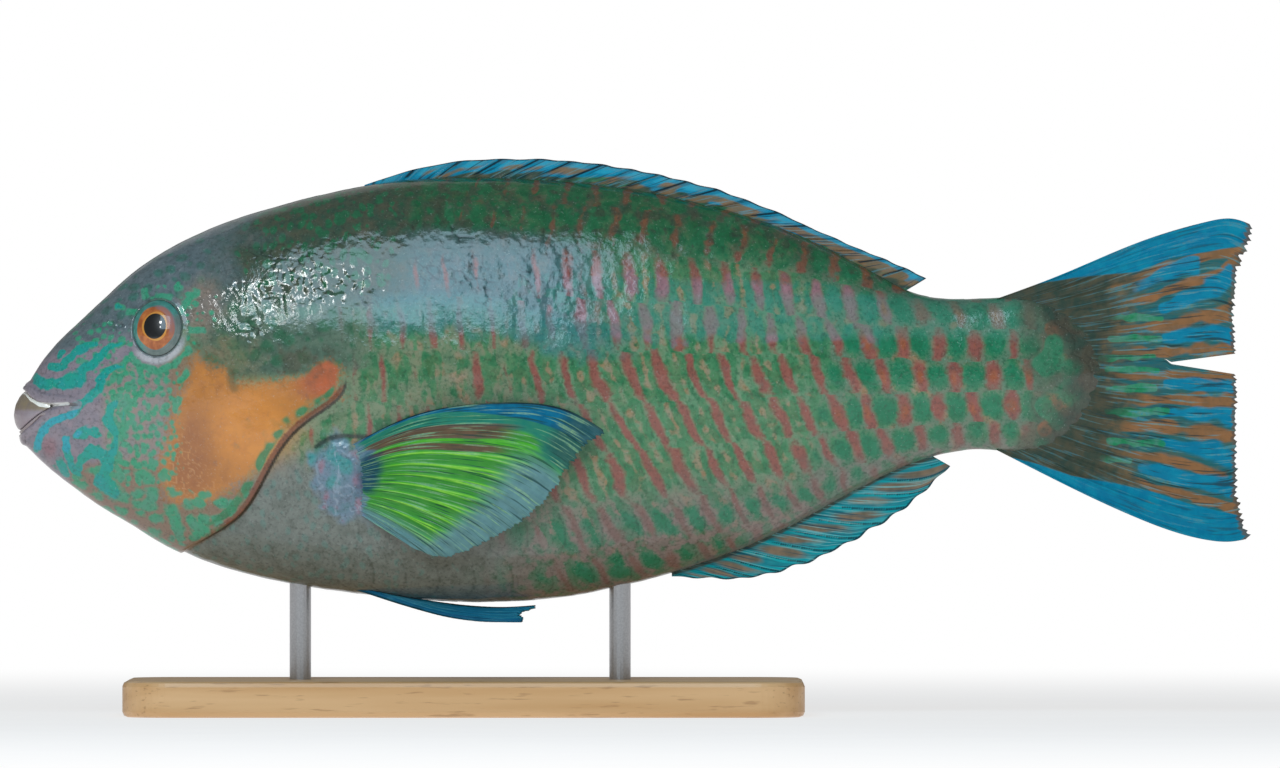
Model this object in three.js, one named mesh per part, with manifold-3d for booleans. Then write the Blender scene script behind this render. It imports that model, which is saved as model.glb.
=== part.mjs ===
// A parrotfish, life size, held over a plain display base by two rods.
// Millimetres, +Z up. The fish looks along -X, and its left side faces -Y.
// The origin is on the floor, below the middle of the fish's length.
// Inside the group the fish has its own frame: s runs from the snout to the tail along X,
// and z is the height over the body axis.

import * as THREE from "three";
import { mergeVertices } from "three/addons/utils/BufferGeometryUtils.js";
import Module from "manifold-3d";

const wasm = await Module();
wasm.setup();

// Driving dimensions
const TOTAL_LENGTH = 348; // from the beak to the tips of the tail fin
const AXIS_HEIGHT = 92.4; // the body axis over the floor
const GAP = 0.3; // clearance between two pieces that touch
const CUT_REACH = 60; // cuts run this far to both sides of the midline
const CLEAR = 90; // and this far above and below the body

// Body outline and section: [s, value] knots of smooth curves
const BACK = [
  [3.2, -0.6], [8.8, 8.1], [18.3, 17.9], [29.5, 28.3], [40.7, 36.7], [57.5, 44.8], [80, 51.9],
  [108, 57.2], [136, 58], [165, 55.9], [195, 50], [220, 41.7], [240, 31.6], [252, 25.8], [264, 24.1],
  [277, 24.4], [292, 22.6], [308, 16.5],
];
const BELLY = [
  [3.2, -17.1], [10, -23.5], [18.3, -30], [29.5, -37.2], [40.7, -43.6], [57.5, -50.7], [80, -56.1],
  [108, -59.6], [136, -60.7], [155, -59.1], [175, -54.9], [197.5, -48.2], [220, -38], [242, -26],
  [256, -20.4], [269, -18], [281, -18.6], [292, -17.6], [308, -12.5],
];
const HALF_WIDTH = [
  [3.2, 6.6], [10, 9.8], [20, 13.4], [40, 18.4], [60, 21.8], [85, 24.4], [112, 25.2], [140, 24],
  [170, 21.2], [200, 17.2], [230, 12.4], [255, 8.8], [275, 6.6], [292, 4.6], [308, 1.9],
];
const SNOUT = { start: 3.2, tip: 1.3, level: -12 }; // the blunt front of the jaws behind the beak
const BODY_END = 308; // the fleshy base thins out over the root of the tail fin
const STEM_EDGE = [[-24, 284], [-15, 296], [-6, 303], [4, 306], [14, 303], [22, 296], [30, 284]]; // [z, s]
const STEM_START = 250; // where the tail's fleshy base parts from the trunk
const UPPER_FULLNESS = [[3, 2.1], [40, 2.25], [90, 2.1], [160, 1.9], [260, 2], [308, 2]];
const LOWER_FULLNESS = [[3, 2.1], [40, 2], [90, 2.15], [160, 2.1], [260, 2], [308, 2]];

// Gill cover: [z, s] knots of its rear edge, how far it stands over the trunk, and the heights it fades at
const GILL_EDGE = [
  [-66, 22], [-56, 34], [-45.4, 49.1], [-37.8, 61.7], [-31.4, 67.3], [-23.8, 71.5], [-16.8, 75.7],
  [-9.8, 82.7], [-4.2, 90.4], [1.6, 93], [7.6, 90.4], [22, 80], [48, 65], [64, 58],
];
const GILL_COVER = { rise: 0.9, run: 15, sunk: 0.5, behind: 7, level: -14, full: 22, faded: 44 };

// Head details
const EYE = { s: 40.3, z: 16, alongRadius: 7.6, upRadius: 8.6, depthRadius: 4.8, sunk: 2.2 };
const EYE_RIM = { tube: 0.65, spread: 0.94, raise: 0.05 };
const BEAK = { s: 11, z: -8.4, along: 11, across: 9.6, up: 9.7 };
// side-view lines of the beak: under the upper lip, along the closed bite, and above the lower lip
const BEAK_TOP = [[-2, -0.6], [3, -1.2], [4.8, -3.2], [7, -4.5], [11.2, -5.2]];
const BITE_LINE = [[-2, -13.4], [1.3, -12.9], [4.2, -10.4], [6.3, -8.7], [8, -7.5], [11.2, -5.9]];
const BEAK_FOOT = [[-2, -14.9], [1.3, -14.4], [4.2, -11.8], [6.3, -9.8]];
const BITE_END = 5; // the lower plate shows up to this knot of the bite line
const MOUTH_LINE = [[8.2, -7], [11.2, -5.8], [14.5, -5.3], [18.2, -5.5]];
const MOUTH_GROOVE = 0.55;
const LIPS = [
  // each from the middle of the snout, at front s, back to the corner of the mouth
  { front: [3.5, -0.2], path: [[4.2, -1.2], [6.6, -3.2], [10.4, -4], [14.6, -4.4], [18.4, -5.2]] },
  { front: [1.9, -15.5], path: [[2.5, -14.8], [5.8, -12.3], [9.4, -8.9], [13.5, -6.9], [18.2, -5.8]] },
];
const LIP = { radius: 1.35, sink: 0.85, endSink: 1.5 };
const NOSTRILS = [{ s: 27.4, z: 17.6, radius: 0.7 }, { s: 30, z: 16.7, radius: 0.9 }];

// Fins: outlines as [s, z] knots, ray counts, and half thicknesses
const DORSAL = {
  rays: 19,
  rootStart: 97, rootEnd: 247, rootSunk: 3,
  edge: [
    [96.7, 55.6], [107.9, 59.4], [121.9, 62.6], [135.9, 63.5], [150, 63.4], [168, 61.5], [186, 58],
    [197, 55], [215, 48], [236, 38.6], [249, 33.2], [255.5, 30],
  ],
  lean: [[0, 1], [0.12, 12], [0.5, 17], [0.85, 15], [1, 8.5]],
  rootHalf: 1, tipHalf: 0.3, membrane: 0.35, scallop: 0.8,
};
const ANAL = {
  rays: 12,
  root: [[184, -50], [197.5, -45], [208.7, -40.5], [220, -34.5], [231, -28.5], [242, -22.5], [254.6, -18.5]],
  edge: [
    [184, -53.8], [195, -54.6], [207, -54.2], [221.8, -50.4], [238.8, -42.2], [249.2, -35.2],
    [256, -29.7], [262.2, -22.8],
  ],
  rootHalf: 1, tipHalf: 0.3, membrane: 0.35, scallop: 1.1,
};
const CAUDAL = {
  rays: 15,
  upper: [[275, 24.2], [292.7, 30.8], [315, 40.1], [334, 45.8], [341, 46.6], [348, 44]],
  lower: [[275, -18.2], [292.7, -27.2], [315, -37.5], [334, -43.4], [341, -43.8], [346.5, -42.7]],
  root: [[275, 24.2], [288, 21], [296, 12], [298, 3], [296, -6], [288, -14.5], [275, -18.2]],
  rear: [[348, 44], [345.4, 37.8], [342.7, 28], [342.6, 2], [342.8, -22], [344, -33.6], [346.5, -42.7]],
  rootHalf: 1.4, tipHalf: 0.3, membrane: 0.35, scallop: 0.7,
  slit: { s: 322, z: 6.2, rear: 342.7, rearTop: 8.9, rearBottom: 2.9 },
};
const PECTORAL_BASE = { s: 90.5, z: -24.5, along: 12, up: 13, out: 4.2, sunk: 2.8 }; // the fleshy pad
const PECTORAL = {
  rays: 14,
  root: [[92.5, -18], [94.6, -27], [97.3, -35.6]],
  upper: [[92.5, -18], [113.5, -8], [136, -4.9], [155.5, -7.2], [166.2, -13.4]],
  lower: [[97.3, -35.6], [104, -40.4], [112.1, -45.4]],
  rear: [[166.2, -13.4], [159, -19], [152.7, -28], [142.9, -38], [130.3, -45], [120, -48], [112.1, -45.4]],
  rootHalf: 0.9, tipHalf: 0.3, membrane: 0.35, scallop: 0.5,
  rootSunk: 1.2, standOff: 4.6, leadingBow: 2.6, bowPeak: 0.62,
};
const PELVIC = {
  rays: 6,
  // [s, y, z]: the spine's edge hangs low and away from the middle, the inner edge keeps to the belly
  spine: [[96, 5.5, -56.6], [113, 8.4, -62.2], [130, 10.6, -65.5], [144, 11.6, -65.9]],
  inner: [[99, 2.6, -57], [118, 2.6, -61.2], [134, 3, -62.6], [147, 3.6, -62]],
  rearNotch: 0.07, // of the fin's length
  rootHalf: 0.8, tipHalf: 0.3, membrane: 0.3, scallop: 0.6,
};

// Display stand
const STAND = {
  centreX: -48, length: 190, width: 86, thickness: 10, corner: 14, bevel: 1.5,
  rodRadius: 3, rodFoot: 4, frontRodX: -94, rearRodX: -4.5, rodIntoBody: 9,
};

// Mesh density: steps along the body in mm, and points around it
const MESH = {
  headStep: 4, trunkStep: 8, aroundHead: 40, aroundTrunk: 32, aroundEye: 22, aroundBeak: 30, aroundPad: 18,
  aroundLip: 8, alongLip: 22, lipPoints: 6, aroundGroove: 6, aroundPit: 8, cutStep: 4.5,
};

// Fin surface: thickness shares and ray crests, as parts of the fin's length and of the ray spacing
const RAY = { foot: 0.3, crest: 0.28, rootBlend: 0.25, webShare: 0.75, taper: 0.8, lastStretch: 0.05 };
const FIN_ROWS = [0, 0.17, 0.38, 0.6, 0.82, 1]; // from the root to the edge

const PROBE = 0.5; // half the stretch over which a slope is taken

const COLOURS = {
  head: 0x5f9a7c, torso: 0x4f8a6a, stem: 0x4a8468, blueFin: 0x1c7fa8, tealFin: 0x1f9aa8,
  greenFin: 0x6aa63a, eye: 0xd07a34, beak: 0x9b8a80, base: 0xc9a676, rod: 0xb9bcc0,
};

// Curves

// A natural cubic spline through [position, value] knots, held straight past its ends.
function spline(knots) {
  const n = knots.length;
  const x = knots.map((k) => k[0]);
  const y = knots.map((k) => k[1]);
  const bend = new Array(n).fill(0);
  const carry = new Array(n).fill(0);
  const load = new Array(n).fill(0);
  for (let i = 1; i < n - 1; i++) {
    const before = x[i] - x[i - 1];
    const after = x[i + 1] - x[i];
    const pull = 6 * ((y[i + 1] - y[i]) / after - (y[i] - y[i - 1]) / before);
    const pivot = 2 * (before + after) - before * carry[i - 1];
    carry[i] = after / pivot;
    load[i] = (pull - before * load[i - 1]) / pivot;
  }
  for (let i = n - 2; i > 0; i--) bend[i] = load[i] - carry[i] * bend[i + 1];
  return (at) => {
    const t = Math.min(Math.max(at, x[0]), x[n - 1]);
    let i = 0;
    while (i < n - 2 && t > x[i + 1]) i++;
    const h = x[i + 1] - x[i];
    const a = (x[i + 1] - t) / h;
    const b = (t - x[i]) / h;
    return a * y[i] + b * y[i + 1] + ((a ** 3 - a) * bend[i] + (b ** 3 - b) * bend[i + 1]) * h * h / 6;
  };
}

// A smooth path through points of any dimension, over 0 to 1 by chord length.
function path(points) {
  const along = [0];
  for (let i = 1; i < points.length; i++) {
    const step = Math.hypot(...points[i].map((value, k) => value - points[i - 1][k]));
    along.push(along[i - 1] + step);
  }
  const length = along[along.length - 1];
  const axes = points[0].map((_, k) => spline(points.map((p, i) => [along[i] / length, p[k]])));
  return (t) => axes.map((axis) => axis(t));
}

// A patch between four edge paths that share their corners: root and rear run with u, first and last with v.
function patch(root, rear, first, last) {
  return (u, v) => {
    const [r, t, f, l] = [root(u), rear(u), first(v), last(v)];
    const [rf, rl, tf, tl] = [root(0), root(1), rear(0), rear(1)];
    return r.map((_, k) => {
      const sides = (1 - v) * r[k] + v * t[k] + (1 - u) * f[k] + u * l[k];
      const corners = (1 - v) * ((1 - u) * rf[k] + u * rl[k]) + v * ((1 - u) * tf[k] + u * tl[k]);
      return sides - corners;
    });
  };
}

function smooth(low, high, value) {
  const t = Math.min(Math.max((value - low) / (high - low), 0), 1);
  return t * t * (3 - 2 * t);
}

function mix(a, b, t) {
  return a + (b - a) * t;
}

// Solids

function toGeometry(positions, indices) {
  const geometry = new THREE.BufferGeometry();
  geometry.setAttribute("position", new THREE.Float32BufferAttribute(positions, 3));
  geometry.setIndex(indices);
  return geometry;
}

// Turns a closed geometry into a solid, facing out whichever way it was wound.
function toSolid(source) {
  const geometry = source.clone();
  geometry.deleteAttribute("normal");
  geometry.deleteAttribute("uv");
  const merged = mergeVertices(geometry, 1e-4);
  const vertProperties = merged.getAttribute("position").array;
  const triVerts = new Uint32Array(merged.index.array);
  const build = () => new wasm.Manifold(new wasm.Mesh({ numProp: 3, vertProperties, triVerts }));
  const solid = build();
  if (solid.volume() > 0) return solid;
  for (let i = 0; i < triVerts.length; i += 3) {
    [triVerts[i + 1], triVerts[i + 2]] = [triVerts[i + 2], triVerts[i + 1]];
  }
  return build();
}

function largestBody(solid) {
  return solid.decompose().reduce((best, body) => (body.volume() > best.volume() ? body : best));
}

function addNode(parent, name, solid, colour, roughness, metalness = 0) {
  const mesh = largestBody(solid).getMesh();
  const positions = [];
  for (let i = 0; i < mesh.numVert; i++) {
    positions.push(...mesh.vertProperties.subarray(i * mesh.numProp, i * mesh.numProp + 3));
  }
  const geometry = toGeometry(positions, Array.from(mesh.triVerts));
  geometry.computeVertexNormals();
  const finish = new THREE.MeshStandardMaterial({ color: colour, roughness, metalness });
  const node = new THREE.Mesh(geometry, finish);
  node.name = name;
  parent.add(node);
  return node;
}

// A closed skin over rings of equal point counts, with a fan over each end.
function loft(rings) {
  const around = rings[0].length;
  const positions = rings.flat(2);
  const indices = [];
  for (let i = 0; i < rings.length - 1; i++) {
    for (let j = 0; j < around; j++) {
      const a = i * around + j;
      const b = i * around + ((j + 1) % around);
      indices.push(a, b, b + around, a, b + around, a + around);
    }
  }
  for (const [ring, flip] of [[0, false], [rings.length - 1, true]]) {
    const centre = positions.length / 3;
    const middle = [0, 1, 2].map((k) => rings[ring].reduce((sum, p) => sum + p[k], 0) / around);
    positions.push(...middle);
    for (let j = 0; j < around; j++) {
      const a = ring * around + j;
      const b = ring * around + ((j + 1) % around);
      indices.push(...(flip ? [a, b, centre] : [b, a, centre]));
    }
  }
  return toSolid(toGeometry(positions, indices));
}

// A thin plate: middle(u, v) offset by reach(u, v) to both sides, with the same triangles on both faces.
function plate(columns, rows, middle, reach, direction) {
  const positions = [];
  for (const side of [1, -1]) {
    for (const v of rows) {
      for (const u of columns) {
        const centre = middle(u, v);
        const away = direction(u, v);
        const half = side * reach(u, v);
        positions.push(...centre.map((value, k) => value + away[k] * half));
      }
    }
  }
  const across = columns.length;
  const face = across * rows.length;
  const indices = [];
  const quad = (a, b, c, d) => indices.push(a, b, c, a, c, d);
  for (let i = 0; i < rows.length - 1; i++) {
    for (let j = 0; j < across - 1; j++) {
      const a = i * across + j;
      const [b, c, d] = [a + 1, a + 1 + across, a + across];
      quad(a, b, c, d);
      indices.push(a + face, c + face, b + face, a + face, d + face, c + face);
    }
  }
  const rim = [];
  for (let j = 0; j < across - 1; j++) rim.push([j, j + 1]);
  for (let i = 0; i < rows.length - 1; i++) rim.push([(i + 1) * across - 1, (i + 2) * across - 1]);
  for (let j = across - 1; j > 0; j--) {
    rim.push([(rows.length - 1) * across + j, (rows.length - 1) * across + j - 1]);
  }
  for (let i = rows.length - 1; i > 0; i--) rim.push([i * across, (i - 1) * across]);
  for (const [a, b] of rim) quad(b, a, a + face, b + face);
  return toSolid(toGeometry(positions, indices));
}

// The inside of a closed side-view outline, drawn out across the whole fish.
function sideCut(outline) {
  const shape = new THREE.Shape(outline.map(([s, z]) => new THREE.Vector2(s, z)));
  const geometry = new THREE.ExtrudeGeometry(shape, { depth: 2 * CUT_REACH, bevelEnabled: false });
  geometry.translate(0, 0, -CUT_REACH);
  geometry.rotateX(Math.PI / 2);
  return toSolid(geometry);
}

// A round bar along a path of [x, y, z] points.
function bar(points, radius, sides, steps) {
  const section = new THREE.Shape();
  section.absarc(0, 0, radius, 0, 2 * Math.PI, false);
  const spine = new THREE.CatmullRomCurve3(points.map((p) => new THREE.Vector3(...p)));
  const options = { steps, extrudePath: spine, curveSegments: sides / 2, bevelEnabled: false };
  return toSolid(new THREE.ExtrudeGeometry(section, options));
}

function ball(centre, radii, width, height) {
  const geometry = new THREE.SphereGeometry(1, width, height);
  geometry.scale(...radii);
  geometry.translate(...centre);
  return toSolid(geometry);
}

function uprightRod(x, y, radius, bottom, top, sides = 20) {
  const geometry = new THREE.CylinderGeometry(radius, radius, top - bottom, sides);
  geometry.rotateX(Math.PI / 2);
  geometry.translate(x, y, (top + bottom) / 2);
  return toSolid(geometry);
}

// Body surface

const backLine = spline(BACK);
const bellyLine = spline(BELLY);
const halfWidth = spline(HALF_WIDTH);
const upperFullness = spline(UPPER_FULLNESS);
const lowerFullness = spline(LOWER_FULLNESS);
const gillEdge = spline(GILL_EDGE);

// The section at s: its widest level, its heights above and below that, its half width and fullness.
function section(s) {
  const inside = Math.max(s, SNOUT.start);
  let top = backLine(inside);
  let bottom = bellyLine(inside);
  let width = halfWidth(inside);
  if (s < SNOUT.start) {
    const depth = Math.min((SNOUT.start - s) / (SNOUT.start - SNOUT.tip), 1);
    const shrink = Math.sqrt(1 - depth * depth);
    top = mix(SNOUT.level, top, shrink);
    bottom = mix(SNOUT.level, bottom, shrink);
    width *= shrink;
  }
  const level = mix(bottom, top, 0.5);
  return {
    level, up: top - level, down: level - bottom, width,
    upper: upperFullness(inside), lower: lowerFullness(inside),
  };
}

function gillSlope(z) {
  return (gillEdge(z + PROBE) - gillEdge(z - PROBE)) / (2 * PROBE);
}

// How far the surface stands out at (s, z): the gill cover rises towards its edge, the trunk dips behind it.
function relief(s, z, piece) {
  const ahead = (gillEdge(z) - s) / Math.hypot(1, gillSlope(z));
  const fade = smooth(GILL_COVER.faded, GILL_COVER.full, Math.abs(z - GILL_COVER.level));
  if (piece === "head") return GILL_COVER.rise * fade * smooth(GILL_COVER.run, 0, ahead);
  return -GILL_COVER.sunk * fade * smooth(GILL_COVER.behind, 0, -ahead);
}

function skinPoint(s, angle, piece, grow = 0) {
  const { level, up, down, width, upper, lower } = section(s);
  const [cos, sin] = [Math.cos(angle), Math.sin(angle)];
  const fullness = sin > 0 ? upper : lower;
  const height = sin > 0 ? up : down;
  const across = Math.sign(cos) * Math.abs(cos) ** (2 / fullness);
  const upright = Math.sign(sin) * Math.abs(sin) ** (2 / fullness);
  const z = level + height * upright;
  const out = grow + relief(s, z, piece);
  return [s, (width + out) * across, z + out * upright];
}

// Half width of the body at side-view point (s, z), or 0 outside the outline.
function flank(s, z) {
  const { level, up, down, width, upper, lower } = section(s);
  const share = Math.abs(z - level) / (z > level ? up : down);
  const fullness = z > level ? upper : lower;
  return share >= 1 ? 0 : width * (1 - share ** fullness) ** (1 / fullness);
}

function stations(from, to, step) {
  const count = Math.round((to - from) / step);
  return Array.from({ length: count + 1 }, (_, i) => from + ((to - from) * i) / count);
}

function bodySolid(list, around, piece, grow = 0) {
  const angles = Array.from({ length: around }, (_, j) => (2 * Math.PI * (j + 0.5)) / around);
  return loft(list.map((s) => angles.map((angle) => skinPoint(s, angle, piece, grow))));
}

const noseStations = [SNOUT.tip + 0.05, SNOUT.tip + 0.3, SNOUT.tip + 0.9];
const headStations = [...noseStations, ...stations(SNOUT.start, 100, MESH.headStep)];
const trunkStations = stations(44, BODY_END, MESH.trunkStep);

// Everything ahead of the gill edge, moved back by `shift`
function aheadOfGills(shift) {
  const levels = stations(GILL_EDGE[0][0], GILL_EDGE[GILL_EDGE.length - 1][0], MESH.cutStep);
  const line = levels.map((z) => [gillEdge(z) + shift * Math.hypot(1, gillSlope(z)), z]);
  return sideCut([[-CLEAR, line[0][1]], ...line, [-CLEAR, line[line.length - 1][1]]]);
}

function slab(from, to) {
  return sideCut([[from, -CLEAR], [to, -CLEAR], [to, CLEAR], [from, CLEAR]]);
}

// Everything ahead of the rounded end of the tail's fleshy base
function aheadOfTail(shift) {
  const edge = spline(STEM_EDGE);
  const levels = stations(STEM_EDGE[0][0], STEM_EDGE[STEM_EDGE.length - 1][0], MESH.cutStep);
  const line = levels.map((z) => [edge(z) + shift, z]);
  return sideCut([[0, -CLEAR], [line[0][0], -CLEAR], ...line, [line[line.length - 1][0], CLEAR], [0, CLEAR]]);
}

// Beak: two plates of one rounded form, parted along the closed bite
function beakForm() {
  const rings = MESH.aroundBeak / 2 + 3;
  return ball([BEAK.s, 0, BEAK.z], [BEAK.along, BEAK.across, BEAK.up], MESH.aroundBeak, rings);
}

// The side-view region between two lines, drawn out across the fish and widened by grow
function strip(topLine, bottomLine, grow) {
  const widen = (line, lift) => line.map(([s, z], i) => [i === line.length - 1 ? s + grow : s, z + lift]);
  return sideCut([...widen(topLine, grow), ...widen(bottomLine, -grow).reverse()]);
}

function upperPlate() {
  return beakForm().intersect(strip(BEAK_TOP, BITE_LINE, 0));
}

function lowerPlate() {
  const bite = BITE_LINE.slice(0, BITE_END).map(([s, z]) => [s, z - GAP]);
  return beakForm().intersect(strip(bite, BEAK_FOOT, 0));
}

function mouthOpening() {
  return strip(BEAK_TOP, [...BEAK_FOOT, ...BITE_LINE.slice(BITE_END - 1)], GAP);
}

// Outward direction of the flank at (s, z) on side -1 or 1
function outward(s, z, side) {
  const slopeS = (flank(s + PROBE, z) - flank(s - PROBE, z)) / (2 * PROBE);
  const slopeZ = (flank(s, z + PROBE) - flank(s, z - PROBE)) / (2 * PROBE);
  return new THREE.Vector3(-slopeS, side, -slopeZ).normalize();
}

// Turns a form whose +Z is outward to face out of the flank, with its +X along the body
function placeOnFlank(geometry, s, z, side, depth) {
  const out = outward(s, z, side);
  const along = new THREE.Vector3(1, 0, 0).addScaledVector(out, -out.x).normalize();
  const up = new THREE.Vector3().crossVectors(out, along);
  const centre = new THREE.Vector3(s, side * flank(s, z), z).addScaledVector(out, -depth);
  geometry.applyMatrix4(new THREE.Matrix4().makeBasis(along, up, out).setPosition(centre));
  return toSolid(geometry);
}

function eyeBall(side, grow) {
  const geometry = new THREE.SphereGeometry(1, MESH.aroundEye, MESH.aroundEye / 2);
  geometry.rotateX(Math.PI / 2);
  geometry.scale(EYE.alongRadius + grow, EYE.upRadius + grow, EYE.depthRadius + grow);
  return placeOnFlank(geometry, EYE.s, EYE.z, side, EYE.sunk);
}

function eyeRim(side) {
  const geometry = new THREE.TorusGeometry(1, EYE_RIM.tube / EYE.alongRadius, 6, MESH.aroundEye);
  geometry.scale(EYE.alongRadius * EYE_RIM.spread, EYE.upRadius * EYE_RIM.spread, EYE.alongRadius);
  return placeOnFlank(geometry, EYE.s, EYE.z, side, -EYE_RIM.raise);
}

// Points on the flank under a side-view path, at the depth that sinkAt gives along it
function flankLine(points, side, sinkAt) {
  const line = path(points);
  return stations(0, 1, 1 / MESH.lipPoints).map((t) => {
    const [s, z] = line(t);
    return [s, side * Math.max(flank(s, z) - sinkAt(t), 0), z];
  });
}

// A lip: one bar from corner to corner round the snout, sinking into the cheek at both ends
function lipBar(lip) {
  const sinkAt = (t) => LIP.sink + (LIP.endSink - LIP.sink) * smooth(0.5, 1, t);
  const left = flankLine(lip.path, -1, sinkAt).reverse();
  const right = flankLine(lip.path, 1, sinkAt);
  const [frontS, frontZ] = lip.front;
  return bar([...left, [frontS, 0, frontZ], ...right], LIP.radius, MESH.aroundLip, MESH.alongLip);
}

function makeHead() {
  let head = bodySolid(headStations, MESH.aroundHead, "head").intersect(aheadOfGills(0));
  for (const lip of LIPS) head = head.add(lipBar(lip));
  for (const side of [-1, 1]) {
    head = head.add(eyeRim(side)).subtract(eyeBall(side, GAP));
    const groove = flankLine(MOUTH_LINE, side, () => 0);
    head = head.subtract(bar(groove, MOUTH_GROOVE, MESH.aroundGroove, MESH.lipPoints));
    for (const { s, z, radius } of NOSTRILS) {
      const pit = new THREE.SphereGeometry(radius, MESH.aroundPit, MESH.aroundPit / 2);
      head = head.subtract(placeOnFlank(pit, s, z, side, 0));
    }
  }
  return head.subtract(mouthOpening());
}

// The trunk and tail base in one piece, with the pads that the pectoral fins grow from
function trunkForm(grow) {
  const { s, z, along, up, out, sunk } = PECTORAL_BASE;
  const body = bodySolid(trunkStations, MESH.aroundTrunk, "torso", grow).intersect(aheadOfTail(grow));
  return [-1, 1].reduce((solid, side) => {
    const pad = new THREE.SphereGeometry(1, MESH.aroundPad, MESH.aroundPad / 2);
    pad.rotateX(Math.PI / 2);
    pad.scale(along + grow, up + grow, out + grow);
    return solid.add(placeOnFlank(pad, s, z, side, sunk));
  }, body);
}

// Fins

// Columns with a crest on each ray and a foot on both sides of it
function rayColumns(rays) {
  const pitch = 1 / (rays - 1);
  const foot = RAY.foot * pitch;
  const columns = [];
  for (let k = 0; k < rays; k++) {
    const crest = k * pitch;
    if (k > 0) columns.push(crest - foot);
    columns.push(crest);
    if (k < rays - 1) columns.push(crest + foot);
  }
  return columns;
}

// 1 on a ray's crest and 0 on the membrane
function onRay(u, rays) {
  const away = Math.abs(u * (rays - 1) - Math.round(u * (rays - 1)));
  return smooth(RAY.crest, 0, away);
}

// Half thickness: full at the root, thin at the edge, and thinner yet on the membrane between rays
function finReach(fin) {
  return (u, v) => {
    const ray = mix(fin.rootHalf, fin.tipHalf, v ** RAY.taper);
    const web = mix(fin.rootHalf, fin.membrane, smooth(0, RAY.rootBlend, v)) * RAY.webShare;
    return mix(Math.min(web, ray), ray, onRay(u, fin.rays));
  };
}

// The outer edge dips between the ray tips
function scalloped(surface, fin) {
  return (u, v) => {
    const dip = v * v * fin.scallop * (1 - onRay(u, fin.rays));
    const here = surface(u, v);
    const inner = surface(u, Math.max(v - RAY.lastStretch, 0));
    const length = Math.hypot(...here.map((value, k) => value - inner[k])) || 1;
    return here.map((value, k) => value - ((value - inner[k]) * dip) / length);
  };
}

const sideways = () => [0, 1, 0];
const upright = ([s, z]) => [s, 0, z];

function midlineFin(fin, surface) {
  const middle = scalloped((u, v) => upright(surface(u, v)), fin);
  return plate(rayColumns(fin.rays), FIN_ROWS, middle, finReach(fin), sideways);
}

function dorsalForm() {
  const lean = spline(DORSAL.lean);
  const outline = spline(DORSAL.edge);
  return midlineFin(DORSAL, (u, v) => {
    const rootS = mix(DORSAL.rootStart, DORSAL.rootEnd, u);
    const tipS = rootS + lean(u);
    const root = [rootS, backLine(rootS) - DORSAL.rootSunk];
    const tip = [tipS, outline(tipS)];
    return [mix(root[0], tip[0], v), mix(root[1], tip[1], v)];
  });
}

function analForm() {
  const root = path(ANAL.root);
  const edge = path(ANAL.edge);
  return midlineFin(ANAL, (u, v) => {
    const from = root(u);
    const to = edge(u);
    return [mix(from[0], to[0], v), mix(from[1], to[1], v)];
  });
}

function caudalForm() {
  const surface = patch(path(CAUDAL.root), path(CAUDAL.rear), path(CAUDAL.upper), path(CAUDAL.lower));
  const { s, z, rear, rearTop, rearBottom } = CAUDAL.slit;
  const stretch = (TOTAL_LENGTH - s) / (rear - s); // the wedge is carried on past the fin's edge
  const top = mix(z, rearTop, stretch);
  const bottom = mix(z, rearBottom, stretch);
  return midlineFin(CAUDAL, surface).subtract(sideCut([[s, z], [TOTAL_LENGTH, bottom], [TOTAL_LENGTH, top]]));
}

// A fin that lies along the flank: a side-view patch lifted off the body
function pectoralForm(side) {
  const surface = patch(path(PECTORAL.root), path(PECTORAL.rear), path(PECTORAL.upper), path(PECTORAL.lower));
  const place = (u, v) => {
    const [s, z] = surface(u, v);
    const lift = mix(-PECTORAL.rootSunk, PECTORAL.standOff, 1 - (1 - v) ** 2);
    const bow = PECTORAL.leadingBow * (1 - u) * Math.sin((Math.PI / 2) * (v / PECTORAL.bowPeak));
    return [s, side * (flank(s, z) + lift + bow), z];
  };
  const direction = (u, v) => {
    const [s, z] = surface(u, v);
    return outward(s, z, side).toArray();
  };
  const middle = scalloped(place, PECTORAL);
  return plate(rayColumns(PECTORAL.rays), FIN_ROWS, middle, finReach(PECTORAL), direction);
}

function pelvicForm(side) {
  const spine = path(PELVIC.spine);
  const inner = path(PELVIC.inner);
  const place = (u, v) => {
    const reach = v * (1 - PELVIC.rearNotch * Math.sin(Math.PI * u));
    const [a, b] = [spine(reach), inner(reach)];
    const [s, y, z] = a.map((value, k) => mix(value, b[k], u));
    return [s, side * y, z];
  };
  const direction = (u, v) => {
    const [a, b] = [spine(v), inner(v)];
    const across = new THREE.Vector3(0, side * (b[1] - a[1]), b[2] - a[2]);
    return new THREE.Vector3(1, 0, 0).cross(across).normalize().toArray();
  };
  const middle = scalloped(place, PELVIC);
  return plate(rayColumns(PELVIC.rays), FIN_ROWS, middle, finReach(PELVIC), direction);
}

// Display stand, in the fish's frame

const floorZ = -AXIS_HEIGHT;
const toS = (x) => x + TOTAL_LENGTH / 2;
const rodSpots = [STAND.frontRodX, STAND.rearRodX].map((x) => {
  const s = toS(x);
  return { s, top: bellyLine(s) + STAND.rodIntoBody };
});

function rodAt({ s, top }, grow) {
  const foot = floorZ + STAND.rodFoot;
  return uprightRod(s, 0, STAND.rodRadius + grow, foot - grow, top + grow);
}

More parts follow.
